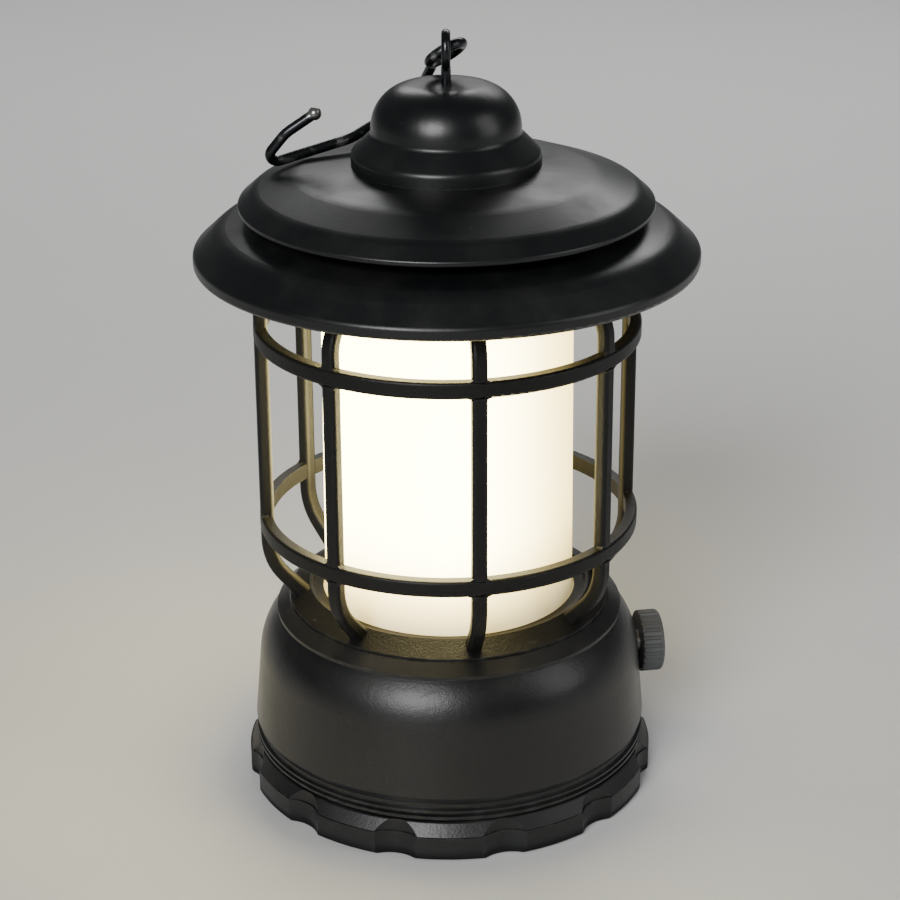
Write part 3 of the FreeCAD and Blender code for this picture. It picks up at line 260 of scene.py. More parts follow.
def moulded_grain():
    """Pebbled skin of moulded plastic or powder coat, as a height and a tone."""
    web, given, result = effect("Moulded grain", [
        ("Size", 0.0005, 0.00001, 0.1), ("Softness", 0.5, 0.0, 1.0)], ["Height", "Tone"])
    place = web.place()
    scale = web.maths("DIVIDE", 1.0, given["Size"])
    pebbles = web.add("TexVoronoi", {"feature": "SMOOTH_F1"}, Vector=place, Scale=scale,
                      Smoothness=given["Softness"]).outputs["Distance"]
    broad = web.noise(place, web.maths("MULTIPLY", scale, 0.31), 2.0)
    web.feed(result["Height"], web.maths("MULTIPLY_ADD", pebbles, -0.6, broad))
    web.feed(result["Tone"], web.noise(place, web.maths("MULTIPLY", scale, 0.024), 5.0, 0.6))


def orange_peel():
    """Gentle ripple of sprayed paint, as a height."""
    web, given, result = effect("Orange peel", [("Size", 0.001, 0.00001, 0.1)], ["Height"])
    place = web.place()
    scale = web.maths("DIVIDE", 1.0, given["Size"])
    ripple = web.noise(place, scale, 1.0, 0.4)
    fine = web.noise(place, web.maths("MULTIPLY", scale, 3.7), 1.0)
    web.feed(result["Height"], web.maths("MULTIPLY_ADD", fine, 0.18, ripple))


def edge_wear():
    """Mask of rubbed edges: where the rounded normal leaves the true one, broken up by noise."""
    web, given, result = effect("Edge wear", [
        ("Radius", 0.0006, 0.0, 0.01), ("Amount", 0.5, 0.0, 1.0), ("Breakup", 260.0, 0.0, 10000.0)],
        ["Mask"])
    rounded = web.add("Bevel", {"samples": 4}, Radius=given["Radius"])
    true_normal = web.add("NewGeometry").outputs["Normal"]
    match = web.add("VectorMath", {"operation": "DOT_PRODUCT"}, in0=rounded, in1=true_normal)
    edge = web.ramp(match.outputs["Value"], 0.995, 0.86)
    patchy = web.ramp(web.noise(web.place(), given["Breakup"], 6.0, 0.65), 0.42, 0.66)
    web.feed(result["Mask"], web.maths("MULTIPLY", web.maths("MULTIPLY", edge, patchy),
                                       given["Amount"], clamp=True))


def settled_dust():
    """Mask of dust on upward faces: a thin patchy film and scattered specks."""
    web, given, result = effect("Settled dust", [
        ("Amount", 0.3, 0.0, 1.0), ("Speck spacing", 0.006, 0.0001, 1.0),
        ("Speck size", 0.00022, 0.0, 0.01)], ["Film", "Specks"])
    place = web.place()
    up = web.ramp(web.parts(web.add("NewGeometry").outputs["Normal"])[2], 0.15, 0.95)
    cloud = web.ramp(web.noise(place, 46.0, 6.0, 0.6), 0.40, 0.75)
    web.feed(result["Film"], web.maths("MULTIPLY", web.maths("MULTIPLY", up, cloud),
                                       given["Amount"]))
    cells = web.add("TexVoronoi", Vector=place, Scale=web.maths("DIVIDE", 1.0,
                                                                given["Speck spacing"]))
    reach = web.maths("MULTIPLY", cells.outputs["Distance"], given["Speck spacing"])
    inside = web.maths("LESS_THAN", reach, given["Speck size"])
    chosen = web.maths("GREATER_THAN", web.parts(cells.outputs["Color"])[0], 0.55)
    dots = web.maths("MULTIPLY", web.maths("MULTIPLY", inside, chosen), up)
    web.feed(result["Specks"], web.maths("MULTIPLY", dots, given["Amount"]))


def handling_smears():
    """Broad soft patches where hands have left the surface shinier or duller."""
    web, given, result = effect("Handling smears", [("Scale", 60.0, 0.0, 1000.0)], ["Mask"])
    place = web.place()
    warp = web.add("TexNoise", Vector=place, Scale=web.maths("MULTIPLY", given["Scale"], 0.6),
                   Detail=2.0).outputs["Color"]
    bent = web.add("VectorMath", {"operation": "MULTIPLY_ADD"}, in0=warp,
                   in1=(0.02, 0.02, 0.02), in2=place)
    web.feed(result["Mask"], web.ramp(web.noise(bent, given["Scale"], 4.0, 0.55), 0.35, 0.70))


def hairline_scratches():
    """Thin scratches running mostly round the piece, as a mask."""
    web, given, result = effect("Hairline scratches", [
        ("Density", 0.5, 0.0, 1.0), ("Scale", 900.0, 0.0, 100000.0)], ["Mask"])
    place = web.place()
    lines = []
    runs = ((0.4, (0.03, 1.0, 1.0)), (1.3, (1.0, 0.04, 1.0)), (2.2, (0.05, 1.0, 0.2)))
    for turn, stretch in runs:
        laid = web.add("Mapping", Vector=place)
        laid.inputs["Rotation"].default_value = (0.3 * turn, 0.2, turn)
        laid.inputs["Scale"].default_value = stretch
        lines.append(web.ramp(web.noise(laid, given["Scale"], 2.0, 0.5), 0.70, 0.76))
    either = web.maths("MAXIMUM", web.maths("MAXIMUM", lines[0], lines[1]), lines[2])
    web.feed(result["Mask"], web.maths("MULTIPLY", either, given["Density"]))


class Finish(Web):
    """A material being wired, with its shader and output in place."""

    def __init__(self, name):
        self.material = bpy.data.materials.new(name)
        self.material.use_nodes = True
        super().__init__(self.material.node_tree)
        self.shader = self.add("BsdfPrincipled")
        self.add("OutputMaterial", Surface=self.shader)

    def surface(self, **sockets):
        for key, value in sockets.items():
            self.feed(self.shader.inputs[key.replace("_", " ")], value)

    def raised(self, height, depth):
        """Bump whose height of one stands that far out."""
        bump = self.add("Bump", Height=height, Strength=1.0, Distance=depth)
        self.surface(Normal=bump)

    def wear_and_dust(self, base, rough, edge_radius=0.0006, edge_share=1.0, dust_share=1.0):
        """Finishes a painted or moulded surface: rubbed edges, dust film and specks."""
        look = bpy.context.scene.lantern_finish
        worn = self.group("Edge wear", Radius=edge_radius, Amount=look.wear * edge_share)
        dust = self.group("Settled dust", Amount=look.dustiness * dust_share)
        film, specks = dust.outputs["Film"], dust.outputs["Specks"]
        tone = self.blend(worn, base, tuple(look.worn_edge))
        tone = self.blend(self.maths("MULTIPLY", film, 0.10), tone, tuple(look.dust))
        tone = self.blend(self.maths("MULTIPLY", specks, 1.6, clamp=True), tone, tuple(look.dust))
        duller = self.maths("MULTIPLY_ADD", film, 0.35, rough)
        duller = self.maths("MULTIPLY_ADD", worn, -0.12, duller)
        self.surface(Base_Color=tone, Roughness=self.maths("ADD", duller, specks, clamp=True))


# ---------------------------------------------------------------- finishes


def moulded_shell(name, grain_share, rough):
    """Black moulded plastic with a fine spark grain."""
    look = bpy.context.scene.lantern_finish
    made = Finish(name)
    grain = made.group("Moulded grain", Size=look.grain * grain_share, Softness=0.6)
    smears = made.group("Handling smears", Scale=34.0)
    lighter = tuple(c * 1.9 for c in look.shell_black)
    base = made.blend(grain.outputs["Tone"], tuple(look.shell_black), lighter)
    roughness = made.maths("MULTIPLY_ADD", smears, 0.09, rough)
    scratches = made.group("Hairline scratches", Density=0.25, Scale=420.0)
    roughness = made.maths("MULTIPLY_ADD", scratches, 0.25, roughness)
    made.wear_and_dust(base, roughness)
    made.raised(grain.outputs["Height"], 0.000035 * grain_share)
    return made.material


def cage_powder_coat():
    """Matt black powder coat with a coarse skin."""
    look = bpy.context.scene.lantern_finish
    made = Finish("Cage powder coat")
    grain = made.group("Moulded grain", Size=0.00062, Softness=0.35)
    base = made.blend(grain.outputs["Tone"], tuple(look.cage_black),
                      tuple(c * 2.0 for c in look.cage_black))
    rough = made.maths("MULTIPLY_ADD", made.group("Handling smears", Scale=70.0), 0.08, 0.44)
    made.wear_and_dust(base, rough, edge_radius=0.0009, edge_share=0.8, dust_share=0.15)
    made.surface(Specular_IOR_Level=0.3)
    made.raised(grain.outputs["Height"], 0.00007)
    return made.material


def roof_satin():
    """Satin black paint over pressed sheet, with orange peel."""
    look = bpy.context.scene.lantern_finish
    made = Finish("Roof satin paint")
    peel = made.group("Orange peel", Size=look.peel)
    tone = made.noise(made.place(), 18.0, 5.0, 0.6)
    base = made.blend(tone, tuple(look.roof_black), tuple(c * 1.7 for c in look.roof_black))
    rough = made.maths("MULTIPLY_ADD", made.group("Handling smears", Scale=26.0), 0.07, 0.31)
    scratches = made.group("Hairline scratches", Density=0.3, Scale=300.0)
    rough = made.maths("MULTIPLY_ADD", scratches, 0.2, rough)
    made.wear_and_dust(base, rough, edge_radius=0.0007)
    made.raised(peel, 0.000018)
    return made.material


def blackened_wire(name, bright_end=None):
    """Bent steel wire with a dark oxide finish, rubbed bright in places and at its cut end."""
    made = Finish(name)
    place = made.place()
    rubbed = made.ramp(made.noise(place, 210.0, 5.0, 0.6), 0.56, 0.72)
    if bright_end:
        away = made.add("VectorMath", {"operation": "DISTANCE"}, in0=place, in1=bright_end)
        tip = made.ramp(away.outputs["Value"], *TIP_RUBBED)
        rubbed = made.maths("MAXIMUM", rubbed, tip)
    base = made.blend(rubbed, (0.030, 0.032, 0.034), (0.30, 0.30, 0.29))
    lines = made.noise(place, 1500.0, 3.0, 0.6)
    made.surface(Base_Color=base, Metallic=0.85,
                 Roughness=made.maths("MULTIPLY_ADD", lines, 0.16, 0.17))
    made.raised(lines, 0.000012)
    return made.material


def lit_diffuser():
    """Frosted opal tube with light behind it: brightest across the middle and towards -X."""
    look = bpy.context.scene.lantern_finish
    made = Finish("Lit opal diffuser")
    low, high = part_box("diffuser")
    x, y, z = made.parts(made.place())
    radius = high.x
    height = made.maths("DIVIDE", made.maths("SUBTRACT", z, low.z), high.z - low.z)
    from_foot = made.ramp(height, 0.0, 0.34, 0.055, 1.0)
    from_top = made.ramp(height, 1.0, 0.80, 0.30, 1.0)
    sideways = made.ramp(made.maths("DIVIDE", x, radius), 0.95, -0.20, 0.20, 1.0)
    around = made.maths("ARCTAN2", y, x)
    strips = made.maths("COSINE", made.maths("MULTIPLY", around, 4.0))
    lobes = made.maths("MULTIPLY_ADD", strips, 0.05, 0.95)
    level = made.maths("MULTIPLY", made.maths("MULTIPLY", from_foot, from_top),
                       made.maths("MULTIPLY", sideways, lobes))
    cloudy = made.noise(made.place(), 90.0, 4.0, 0.5)
    level = made.maths("MULTIPLY", level, made.maths("MULTIPLY_ADD", cloudy, 0.06, 0.97))
    tint = made.blend(made.ramp(level, 0.08, 0.60), tuple(look.glow_amber), tuple(look.glow_white))
    glow = made.add("VectorMath", {"operation": "SCALE"}, in0=tint)
    made.feed(glow.inputs["Scale"], level)
    frost = made.group("Moulded grain", Size=0.0004, Softness=0.9)
    made.surface(Base_Color=made.blend(cloudy, (0.80, 0.77, 0.70), (0.88, 0.86, 0.80)),
                 Roughness=made.maths("MULTIPLY_ADD", frost.outputs["Tone"], 0.12, 0.34),
                 Emission_Color=glow, Emission_Strength=look.glow_strength)
    made.raised(frost.outputs["Height"], 0.00001)
    return made.material


def knob_plastic():
    """Matt grey plastic with rubbed rib crests."""
    look = bpy.context.scene.lantern_finish
    made = Finish("Knob plastic")
    grain = made.group("Moulded grain", Size=0.0004, Softness=0.5)
    base = made.blend(grain.outputs["Tone"], tuple(look.knob_grey),
                      tuple(c * 1.5 for c in look.knob_grey))
    made.wear_and_dust(base, made.maths("MULTIPLY_ADD", grain.outputs["Tone"], 0.1, 0.5),
                       edge_radius=0.0003, edge_share=0.8, dust_share=0.6)
    made.raised(grain.outputs["Height"], 0.00003)
    return made.material


def soft_rubber():
    """Dull rubber with a dusty bloom."""
    look = bpy.context.scene.lantern_finish
    made = Finish("Soft rubber")
    place = made.place()
    bloom = made.ramp(made.noise(place, 240.0, 6.0, 0.7), 0.40, 0.75)
    base = made.blend(made.maths("MULTIPLY", bloom, 0.35), tuple(look.rubber), (0.11, 0.105, 0.10))
    grain = made.group("Moulded grain", Size=0.0003, Softness=0.7)
    made.surface(Base_Color=base, Roughness=made.maths("MULTIPLY_ADD", bloom, 0.12, 0.72))
    made.raised(grain.outputs["Height"], 0.00004)
    return made.material


def bare_metal(name, tint, rough, stretch):
    """Unpainted metal with brushing along one axis, scratches and faint tarnish."""
    made = Finish(name)
    place = made.place()
    brushed = made.noise(made.add("Mapping", Vector=place, Scale=stretch), 2600.0, 3.0, 0.6)
    tarnish = made.ramp(made.noise(place, 130.0, 5.0, 0.6), 0.45, 0.75)
    base = made.blend(tarnish, tint, tuple(c * 0.62 for c in tint))
    scratches = made.group("Hairline scratches", Density=0.5, Scale=1200.0)
    roughness = made.maths("MULTIPLY_ADD", brushed, 0.18, rough)
    roughness = made.maths("MULTIPLY_ADD", scratches, 0.15, roughness)
    made.surface(Base_Color=base, Metallic=1.0, Roughness=roughness)
    made.raised(brushed, 0.000015)
    return made.material


def circuit_board():
    """Green solder mask with copper runs showing faintly through it."""
    made = Finish("Circuit board")
    runs = made.add("TexBrick", {"offset": 0.37}, Vector=made.place(), Scale=220.0,
                    Mortar_Size=0.06, Mortar_Smooth=0.4, Brick_Width=1.7, Row_Height=0.55)
    line = made.maths("SUBTRACT", 1.0, runs.outputs["Fac"])
    tone = made.noise(made.place(), 80.0, 4.0)
    mask = made.blend(tone, (0.035, 0.19, 0.09), (0.055, 0.26, 0.125))
    made.surface(Base_Color=made.blend(line, (0.10, 0.34, 0.17), mask), Roughness=0.38)
    made.raised(runs.outputs["Fac"], 0.00003)
    return made.material


def phosphor_chip():
    """Yellow phosphor window, cloudy in tone."""
    made = Finish("Phosphor chip")
    cloud = made.noise(made.place(), 900.0, 4.0)
    made.surface(Base_Color=made.blend(cloud, (0.86, 0.62, 0.12), (0.90, 0.76, 0.30)),
                 Roughness=made.maths("MULTIPLY_ADD", cloud, 0.2, 0.25))
    made.raised(cloud, 0.00002)
    return made.material


def tray_plastic():
    """Coarser black plastic of the battery tray."""
    made = Finish("Tray plastic")
    grain = made.group("Moulded grain", Size=0.0007, Softness=0.5)
    made.surface(Base_Color=made.blend(grain.outputs["Tone"], (0.016, 0.016, 0.017),
                                       (0.034, 0.034, 0.035)),
                 Roughness=made.maths("MULTIPLY_ADD", grain.outputs["Tone"], 0.15, 0.48))
    made.raised(grain.outputs["Height"], 0.00005)
    return made.material


def cell_jacket():
    """Plain blue-grey battery sleeves with bare steel ends."""
    made = Finish("Cell jacket")
    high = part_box("batteries")[1]
    along = made.parts(made.place())[1]
    cloud = made.noise(made.place(), 300.0, 4.0)
    base = made.blend(cloud, (0.15, 0.17, 0.25), (0.24, 0.26, 0.34))
    end = made.maths("GREATER_THAN", made.maths("ABSOLUTE", along), high.y - 2.4 * MM)
    base = made.blend(end, base, (0.66, 0.65, 0.62))
    made.surface(Base_Color=base, Metallic=end,
                 Roughness=made.maths("MULTIPLY_ADD", cloud, 0.15, 0.22))
    made.raised(cloud, 0.00002)
    return made.material


def board_parts_finish():
    """Dark ceramic and epoxy of the parts on the board."""
    made = Finish("Board parts")
    x, y = made.parts(made.place())[:2]
    wound = made.add("TexWave", {"bands_direction": "Z"}, Vector=made.place(), Scale=420.0)
    coil = made.maths("MULTIPLY", made.maths("LESS_THAN", x, -2.0 * MM),
                      made.maths("LESS_THAN", y, -8.0 * MM))
    copper = made.blend(wound.outputs["Fac"], (0.20, 0.07, 0.02), (0.65, 0.28, 0.10))
    speckle = made.noise(made.place(), 1400.0, 3.0)
    epoxy = made.blend(speckle, (0.012, 0.012, 0.013), (0.035, 0.035, 0.036))
    made.surface(Base_Color=made.blend(coil, epoxy, copper),
                 Roughness=made.maths("MULTIPLY_ADD", speckle, 0.2, 0.35))
    made.raised(speckle, 0.00003)
    return made.material


def lead_sleeve():
    """Silicone sleeves: red on one side of the lantern, black on the other."""
    made = Finish("Lead sleeve")
    x, y = made.parts(made.place())[:2]
    cloud = made.noise(made.place(), 500.0, 4.0)
    side = made.maths("GREATER_THAN", made.maths("ADD", x, y), 0.0)
    red = made.blend(cloud, (0.42, 0.02, 0.015), (0.58, 0.04, 0.03))
    black = made.blend(cloud, (0.012, 0.012, 0.012), (0.03, 0.03, 0.03))
    made.surface(Base_Color=made.blend(side, black, red),
                 Roughness=made.maths("MULTIPLY_ADD", cloud, 0.15, 0.4))
    made.raised(cloud, 0.00002)
    return made.material


def dress(names, material):
    """Puts a material on CAD nodes or on new pieces."""
    for name in names:
        target = nodes.get(name) or bpy.data.objects[name]
        if target.material_slots:
            target.material_slots[0].material = material
        else:
            target.data.materials.append(material)


# ---------------------------------------------------------------- modelling tools


def start():
    """Deselects everything, so that the next primitive stands alone."""
    bpy.ops.object.select_all(action="DESELECT")


def name_new(name):
    """Names the primitive just added."""
    made = bpy.context.active_object
    made.name = made.data.name = name
    return made


def settle(piece):
    """Moves a piece's place into its mesh, so that its object sits at the origin."""
    bpy.ops.object.select_all(action="DESELECT")
    piece.select_set(True)
    bpy.context.view_layer.objects.active = piece
    bpy.ops.object.transform_apply(location=True, rotation=True, scale=True)


def apply(piece, kind, **settings):
    """Adds a modifier, sets it and applies it."""
    made = piece.modifiers.new(kind.title(), kind)
    for key, value in settings.items():
        setattr(made, key, value)
    bpy.ops.object.select_all(action="DESELECT")
    bpy.context.view_layer.objects.active = piece
    piece.select_set(True)
    bpy.ops.object.modifier_apply(modifier=made.name)


def copy_to(piece, matrix):
    """A copy of a piece with its own mesh, moved by a matrix."""
    bpy.ops.object.select_all(action="DESELECT")
    piece.select_set(True)
    bpy.context.view_layer.objects.active = piece
    bpy.ops.object.duplicate(linked=False)
    made = bpy.context.active_object
    made.matrix_world = matrix @ piece.matrix_world
    return made


def gather(name, pieces):
    """Joins pieces into one object at the origin."""
    bpy.ops.object.select_all(action="DESELECT")
    for piece in pieces:
        piece.select_set(True)
    bpy.context.view_layer.objects.active = pieces[0]
    bpy.ops.object.join()
    made = name_new(name)
    settle(made)
    return made


def face_outwards(piece):
    """Welds doubled points and turns every face of a piece outwards."""
    bpy.ops.object.select_all(action="DESELECT")
    piece.select_set(True)
    bpy.context.view_layer.objects.active = piece
    bpy.ops.object.mode_set(mode="EDIT")
    bpy.ops.mesh.select_all(action="SELECT")
    bpy.ops.mesh.remove_doubles(threshold=WELD)
    bpy.ops.mesh.normals_make_consistent(inside=False)
    bpy.ops.object.mode_set(mode="OBJECT")


def smooth(piece):
    """Shades a piece smooth, apart from its sharp edges."""
    bpy.ops.object.select_all(action="DESELECT")
    piece.select_set(True)
    bpy.context.view_layer.objects.active = piece
    bpy.ops.object.shade_smooth_by_angle(angle=SHARP_ANGLE)


# ---------------------------------------------------------------- operators


class LANTERN_OT_effects(bpy.types.Operator):
    """Builds the effects that several finishes share"""

    bl_idname = "lantern.effects"
    bl_label = "Shared effects"

    def execute(self, context):
        moulded_grain()
        orange_peel()
        edge_wear()
        settled_dust()
        handling_smears()
        hairline_scratches()
        return {"FINISHED"}


class LANTERN_OT_base(bpy.types.Operator):
    """Finishes the base: housing, lamp base, battery cover, feet and seal"""

    bl_idname = "lantern.base"
    bl_label = "Base finishes"

    def execute(self, context):
        dress(["base_housing", "lamp_base"], moulded_shell("Housing plastic", 1.0, 0.30))
        dress(["battery_cover"], moulded_shell("Cover plastic", 1.5, 0.38))
        dress(["foot_pads", "cover_seal"], soft_rubber())
        self.turn_marks(context.scene.lantern_detail)
        return {"FINISHED"}

    def turn_marks(self, detail):
        """Two curved arrows raised on the underside of the cover, pointing the way it opens."""
        under = min(v.co.z for v in nodes["battery_cover"].data.vertices)
        sunk = 0.15 * MM
        thick = detail.mark_height + sunk
        spot = (detail.mark_ring, 0, under + (sunk - detail.mark_height) / 2)
        start()
        bpy.ops.mesh.primitive_plane_add(size=1.0, rotation=(math.radians(90), 0, 0),
                                         location=spot)
        arc = name_new("turn_arrow")
        arc.scale = (detail.mark_width, thick, 1.0)
        settle(arc)
        bpy.ops.object.mode_set(mode="EDIT")
        bpy.ops.mesh.select_all(action="SELECT")
        bpy.ops.mesh.spin(steps=28, angle=math.radians(-56), center=(0, 0, 0), axis=(0, 0, 1))
        bpy.ops.object.mode_set(mode="OBJECT")
        start()
        bpy.ops.mesh.primitive_cylinder_add(vertices=3, radius=detail.mark_width * 2.2,
                                            depth=thick, location=spot)
        head = name_new("arrow_head")
        settle(head)
        arrow = gather("turn_arrow", [arc, head])
        other = copy_to(arrow, Matrix.Rotation(math.pi, 4, "Z"))
        marks = gather("cover_turn_marks", [arrow, other])
        apply(marks, "BEVEL", width=0.0001, segments=2, limit_method="ANGLE")
        face_outwards(marks)
        smooth(marks)
        dress([marks.name], nodes["battery_cover"].material_slots[0].material)
        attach(marks, "cover")


class LANTERN_OT_cage(bpy.types.Operator):
    """Finishes the cage and casts a fillet into each corner where a bar crosses a hoop"""

    bl_idname = "lantern.cage"
    bl_label = "Cage"

    def execute(self, context):
        coat = cage_powder_coat()
        dress(["cage_collar", "cage_uprights", "cage_hoop_lower", "cage_hoop_upper",
               "cage_crown_ring"], coat)
        self.fillets(context.scene.lantern_detail, coat)
        return {"FINISHED"}

    def fillets(self, detail, coat):
        """Webs that fill the four corners of every crossing, each hollowed by a round."""
        bar = [v.co for v in nodes["cage_uprights"].data.vertices]
        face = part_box("cage_hoop_lower")[1].x
        front = [p for p in bar if p.y < -face + 0.3 * MM and abs(p.x) < 4 * MM]
        side = max(p.x for p in front)
        web = self.corner_web(detail, side, face)
        webs = []
        for hoop in ("cage_hoop_lower", "cage_hoop_upper"):
            low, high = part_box(hoop)
            for number in range(BARS):
                turn = Matrix.Rotation(math.tau * number / BARS, 4, "Z")
                for sign in (1, -1):
                    for level, flip in ((high.z, 1), (low.z, -1)):
                        place = Matrix.Translation((0, 0, level))
                        mirror = Matrix.Diagonal((sign, 1, flip, 1))
                        webs.append(copy_to(web, turn @ place @ mirror))
        bpy.data.objects.remove(web)
        made = gather("cage_fillets", webs)
        face_outwards(made)
        smooth(made)
        dress([made.name], coat)
        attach(made, "lantern")

    def corner_web(self, detail, side, face):
        """One web: a small block in the corner above a hoop, cut by a cylinder along Y."""
        size = detail.fillet
        sunk = 0.35 * MM
        reach = size * 0.97
        depth = detail.fillet_depth
        middle = (side + (reach - sunk) / 2, -face + sunk + depth / 2, (reach - sunk) / 2)
        start()
        bpy.ops.mesh.primitive_cube_add(size=1.0, location=middle)
        block = name_new("corner_web")
        block.scale = (reach + sunk, depth, reach + sunk)
        settle(block)
        start()
        bpy.ops.mesh.primitive_cylinder_add(vertices=detail.fillet_steps, radius=size,
                                            depth=3 * depth, rotation=(math.radians(90), 0, 0),
                                            location=(side + size, middle[1], size))
        round_cut = name_new("web_cut")
        settle(round_cut)
        apply(block, "BOOLEAN", object=round_cut, operation="DIFFERENCE", solver="EXACT")
        bpy.data.objects.remove(round_cut)
        face_outwards(block)
        return block


class LANTERN_OT_roof(bpy.types.Operator):
    """Finishes the roof: brim, spacer, disc and dome"""

    bl_idname = "lantern.roof"
    bl_label = "Roof finishes"

    def execute(self, context):
        dress(["roof_brim", "roof_spacer", "roof_disc", "cap_dome"], roof_satin())
        return {"FINISHED"}


class LANTERN_OT_light(bpy.types.Operator):
    """Finishes the light: lit diffuser, post, strips and chips"""

    bl_idname = "lantern.light"
    bl_label = "Light finishes"

    def execute(self, context):
        dress(["diffuser"], lit_diffuser())
        aluminium = bare_metal("Bare aluminium", (0.80, 0.81, 0.82), 0.30, (1.0, 1.0, 0.04))
        dress(["light_post", "crown_plate", "dimmer_bracket"], aluminium)
        dress(["light_strips", "light_link_board", "driver_board"], circuit_board())
        dress(["light_chips"], phosphor_chip())
        dress(["board_parts"], board_parts_finish())
        dress(["light_leads", "battery_leads", "dimmer_leads"], lead_sleeve())
        return {"FINISHED"}


class LANTERN_OT_hanging(bpy.types.Operator):
    """Finishes the screw eye and the hanging hook"""

    bl_idname = "lantern.hanging"
    bl_label = "Hanging gear finishes"

    def execute(self, context):
        points = [v.co for v in nodes["hanging_hook"].data.vertices]
        outer = min(points, key=lambda p: p.x)
        near = [p for p in points if p.x < outer.x + TIP_SPAN]
        tip = max(near, key=lambda p: p.z)
        dress(["hanging_hook"], blackened_wire("Hook wire", tuple(tip)))
        dress(["screw_eye"], blackened_wire("Eye wire"))
        steel = bare_metal("Plated steel", (0.56, 0.56, 0.55), 0.24, (1.0, 1.0, 1.0))
        dress(["eye_nut", "tie_nut", "tie_washer", "dimmer_shaft", "dimmer_body", "dimmer_nut",
               "contact_plates", "contact_springs", "deck_screws", "post_screws", "crown_screws",
               "tray_screws", "bracket_screws"], steel)
        return {"FINISHED"}


class LANTERN_OT_dimmer(bpy.types.Operator):
    """Finishes the dimmer knob"""

    bl_idname = "lantern.dimmer"
    bl_label = "Dimmer knob"

    def execute(self, context):
        plastic = knob_plastic()
        dress(["dimmer_knob"], plastic)
        self.pointer(context.scene.lantern_detail, plastic)
        return {"FINISHED"}

    def pointer(self, detail, plastic):
        """Raised rib from the middle of the knob's face towards its edge."""
        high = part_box("dimmer_knob")[1]
        edge_gap = 1.6 * MM
        sunk = 0.3 * MM
        proud = high.x + detail.pointer_rise
        start()
        bpy.ops.mesh.primitive_cube_add(size=1.0, location=(
            (high.x - sunk + proud) / 2, 0.0, high.z - edge_gap - detail.pointer_length / 2))
        rib = name_new("dimmer_pointer")
        rib.scale = (proud - high.x + sunk, detail.pointer_width, detail.pointer_length)
        settle(rib)
        apply(rib, "BEVEL", width=0.0002, segments=3, limit_method="ANGLE")
        face_outwards(rib)
        smooth(rib)
        dress([rib.name], plastic)
        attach(rib, "dimmer")


class LANTERN_OT_battery_bay(bpy.types.Operator):
    """Finishes the battery tray and cells"""

    bl_idname = "lantern.battery_bay"
    bl_label = "Battery bay"

    def execute(self, context):
        dress(["battery_tray"], tray_plastic())
        dress(["batteries"], cell_jacket())
        return {"FINISHED"}


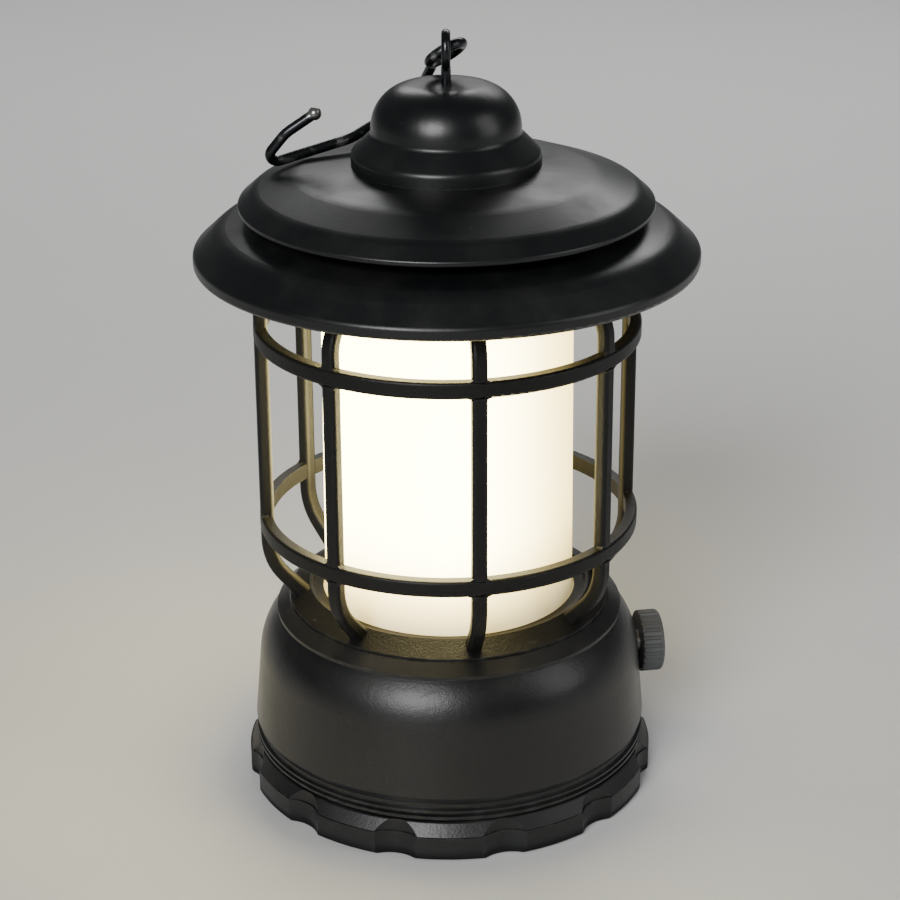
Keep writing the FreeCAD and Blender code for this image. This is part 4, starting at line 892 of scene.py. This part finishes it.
class LANTERN_OT_stage(bpy.types.Operator):
    """Lays the floor, sets the softboxes and stands the camera"""

    bl_idname = "lantern.stage"
    bl_label = "Studio"

    def execute(self, context):
        studio = context.scene.lantern_studio
        self.lay_floor(studio)
        self.light_surroundings(studio)
        self.key_light(studio)
        self.softbox("Fill softbox", studio.fill_power, (0.85, -0.45, 0.55), (0.5, 0.8))
        self.softbox("Rim softbox", studio.rim_power, (0.25, 0.95, 0.75), (0.9, 0.3))
        self.stand_camera(studio)
        return {"FINISHED"}

    def lay_floor(self, studio):
        """Pale floor, seen only from above, that the battery cover stands on."""
        start()
        bpy.ops.mesh.primitive_circle_add(vertices=96, radius=studio.floor_radius,
                                          fill_type="NGON", location=(0, 0, cad_box[0].z))
        floor = name_new("studio_floor")
        settle(floor)
        made = Finish("Studio floor")
        mottle = made.noise(made.place(), 9.0, 6.0, 0.6)
        made.surface(Base_Color=made.blend(mottle, tuple(c * 0.97 for c in studio.floor),
                                           tuple(studio.floor)),
                     Roughness=made.maths("MULTIPLY_ADD", mottle, 0.06, 0.62))
        fine = made.noise(made.place(), 1300.0, 3.0)
        made.raised(fine, 0.00004)
        below = made.add("NewGeometry").outputs["Backfacing"]
        near = made.maths("LESS_THAN", made.add("LightPath").outputs["Ray Length"],
                          FLOOR_CLEAR)
        unseen = made.maths("MAXIMUM", below, near)
        clear = made.add("BsdfTransparent")
        seen = made.add("MixShader", Fac=unseen, in1=made.shader, in2=clear)
        output = next(n for n in made.tree.nodes if n.type == "OUTPUT_MATERIAL")
        made.feed(output.inputs["Surface"], seen)
        dress([floor.name], made.material)
        floor.parent = frame["bodies"]["cover"]

    def light_surroundings(self, studio):
        """Even pale light from all round."""
        world = bpy.data.worlds.new("Studio surroundings")
        bpy.context.scene.world = world
        world.use_nodes = True
        web = Web(world.node_tree)
        seen = web.add("LightPath").outputs["Is Camera Ray"]
        strength = web.maths("MULTIPLY_ADD", seen, studio.backdrop_seen - studio.backdrop_strength,
                             studio.backdrop_strength)
        back = web.add("Background", Color=tuple(studio.backdrop), Strength=strength)
        web.add("OutputWorld", Surface=back)

    def key_light(self, studio):
        """Large soft disc of light, far off in front, to the left and above."""
        bpy.ops.object.light_add(type="SUN", location=(-0.5, -0.9, 0.8))
        light = name_new("Key light")
        light.rotation_euler = (math.radians(62), 0.0, math.radians(-31))
        light.data.energy = studio.key_power
        light.data.angle = math.radians(30)

    def softbox(self, name, power, place, size):
        """Rectangular area light aimed at the middle of the lantern."""
        middle = (cad_box[0] + cad_box[1]) / 2
        aim = (middle - Vector(place)).to_track_quat("-Z", "Y").to_euler()
        bpy.ops.object.light_add(type="AREA", location=place, rotation=aim)
        light = name_new(name)
        light.data.shape = "RECTANGLE"
        light.data.size, light.data.size_y = size
        light.data.energy = power

    def stand_camera(self, studio):
        """Camera in front and above, turned a little to the lantern's right."""
        turn = Matrix.Rotation(studio.azimuth, 4, "Z")
        aim = turn @ Matrix.Rotation(studio.pan, 4, "Z") @ Matrix.Rotation(studio.tilt, 4, "X")
        aim = aim @ Matrix.Rotation(studio.roll, 4, "Z")
        spot = turn @ Vector((0.0, -studio.distance, studio.camera_height))
        bpy.ops.object.camera_add(location=spot, rotation=aim.to_euler())
        camera = name_new("studio_camera")
        camera.data.lens = studio.lens
        camera.data.clip_start = 0.01
        bpy.context.scene.camera = camera


STEPS = (LANTERN_OT_effects, LANTERN_OT_base, LANTERN_OT_cage, LANTERN_OT_roof, LANTERN_OT_light,
         LANTERN_OT_hanging, LANTERN_OT_dimmer, LANTERN_OT_battery_bay, LANTERN_OT_stage)
SETTINGS = {"lantern_finish": LanternFinish, "lantern_detail": LanternDetail,
            "lantern_studio": LanternStudio}


class LANTERN_PT_panel(bpy.types.Panel):
    """Lists the settings and the steps in the sidebar"""

    bl_idname = "LANTERN_PT_panel"
    bl_label = "Camping lantern"
    bl_space_type = "VIEW_3D"
    bl_region_type = "UI"
    bl_category = "Lantern"

    def draw(self, context):
        for step in STEPS:
            self.layout.operator(step.bl_idname)
        for name, group in SETTINGS.items():
            box = self.layout.box()
            for key in group.__annotations__:
                box.prop(getattr(context.scene, name), key)


CLASSES = (*SETTINGS.values(), *STEPS, LANTERN_PT_panel)


def register():
    for item in CLASSES:
        bpy.utils.register_class(item)
    for name, group in SETTINGS.items():
        setattr(bpy.types.Scene, name, PointerProperty(type=group))


def unregister():
    for name in SETTINGS:
        delattr(bpy.types.Scene, name)
    for item in reversed(CLASSES):
        bpy.utils.unregister_class(item)


def main():
    register()
    for step in STEPS:
        group, operation = step.bl_idname.split(".")
        getattr(getattr(bpy.ops, group), operation)()


if __name__ == "__main__":
    main()
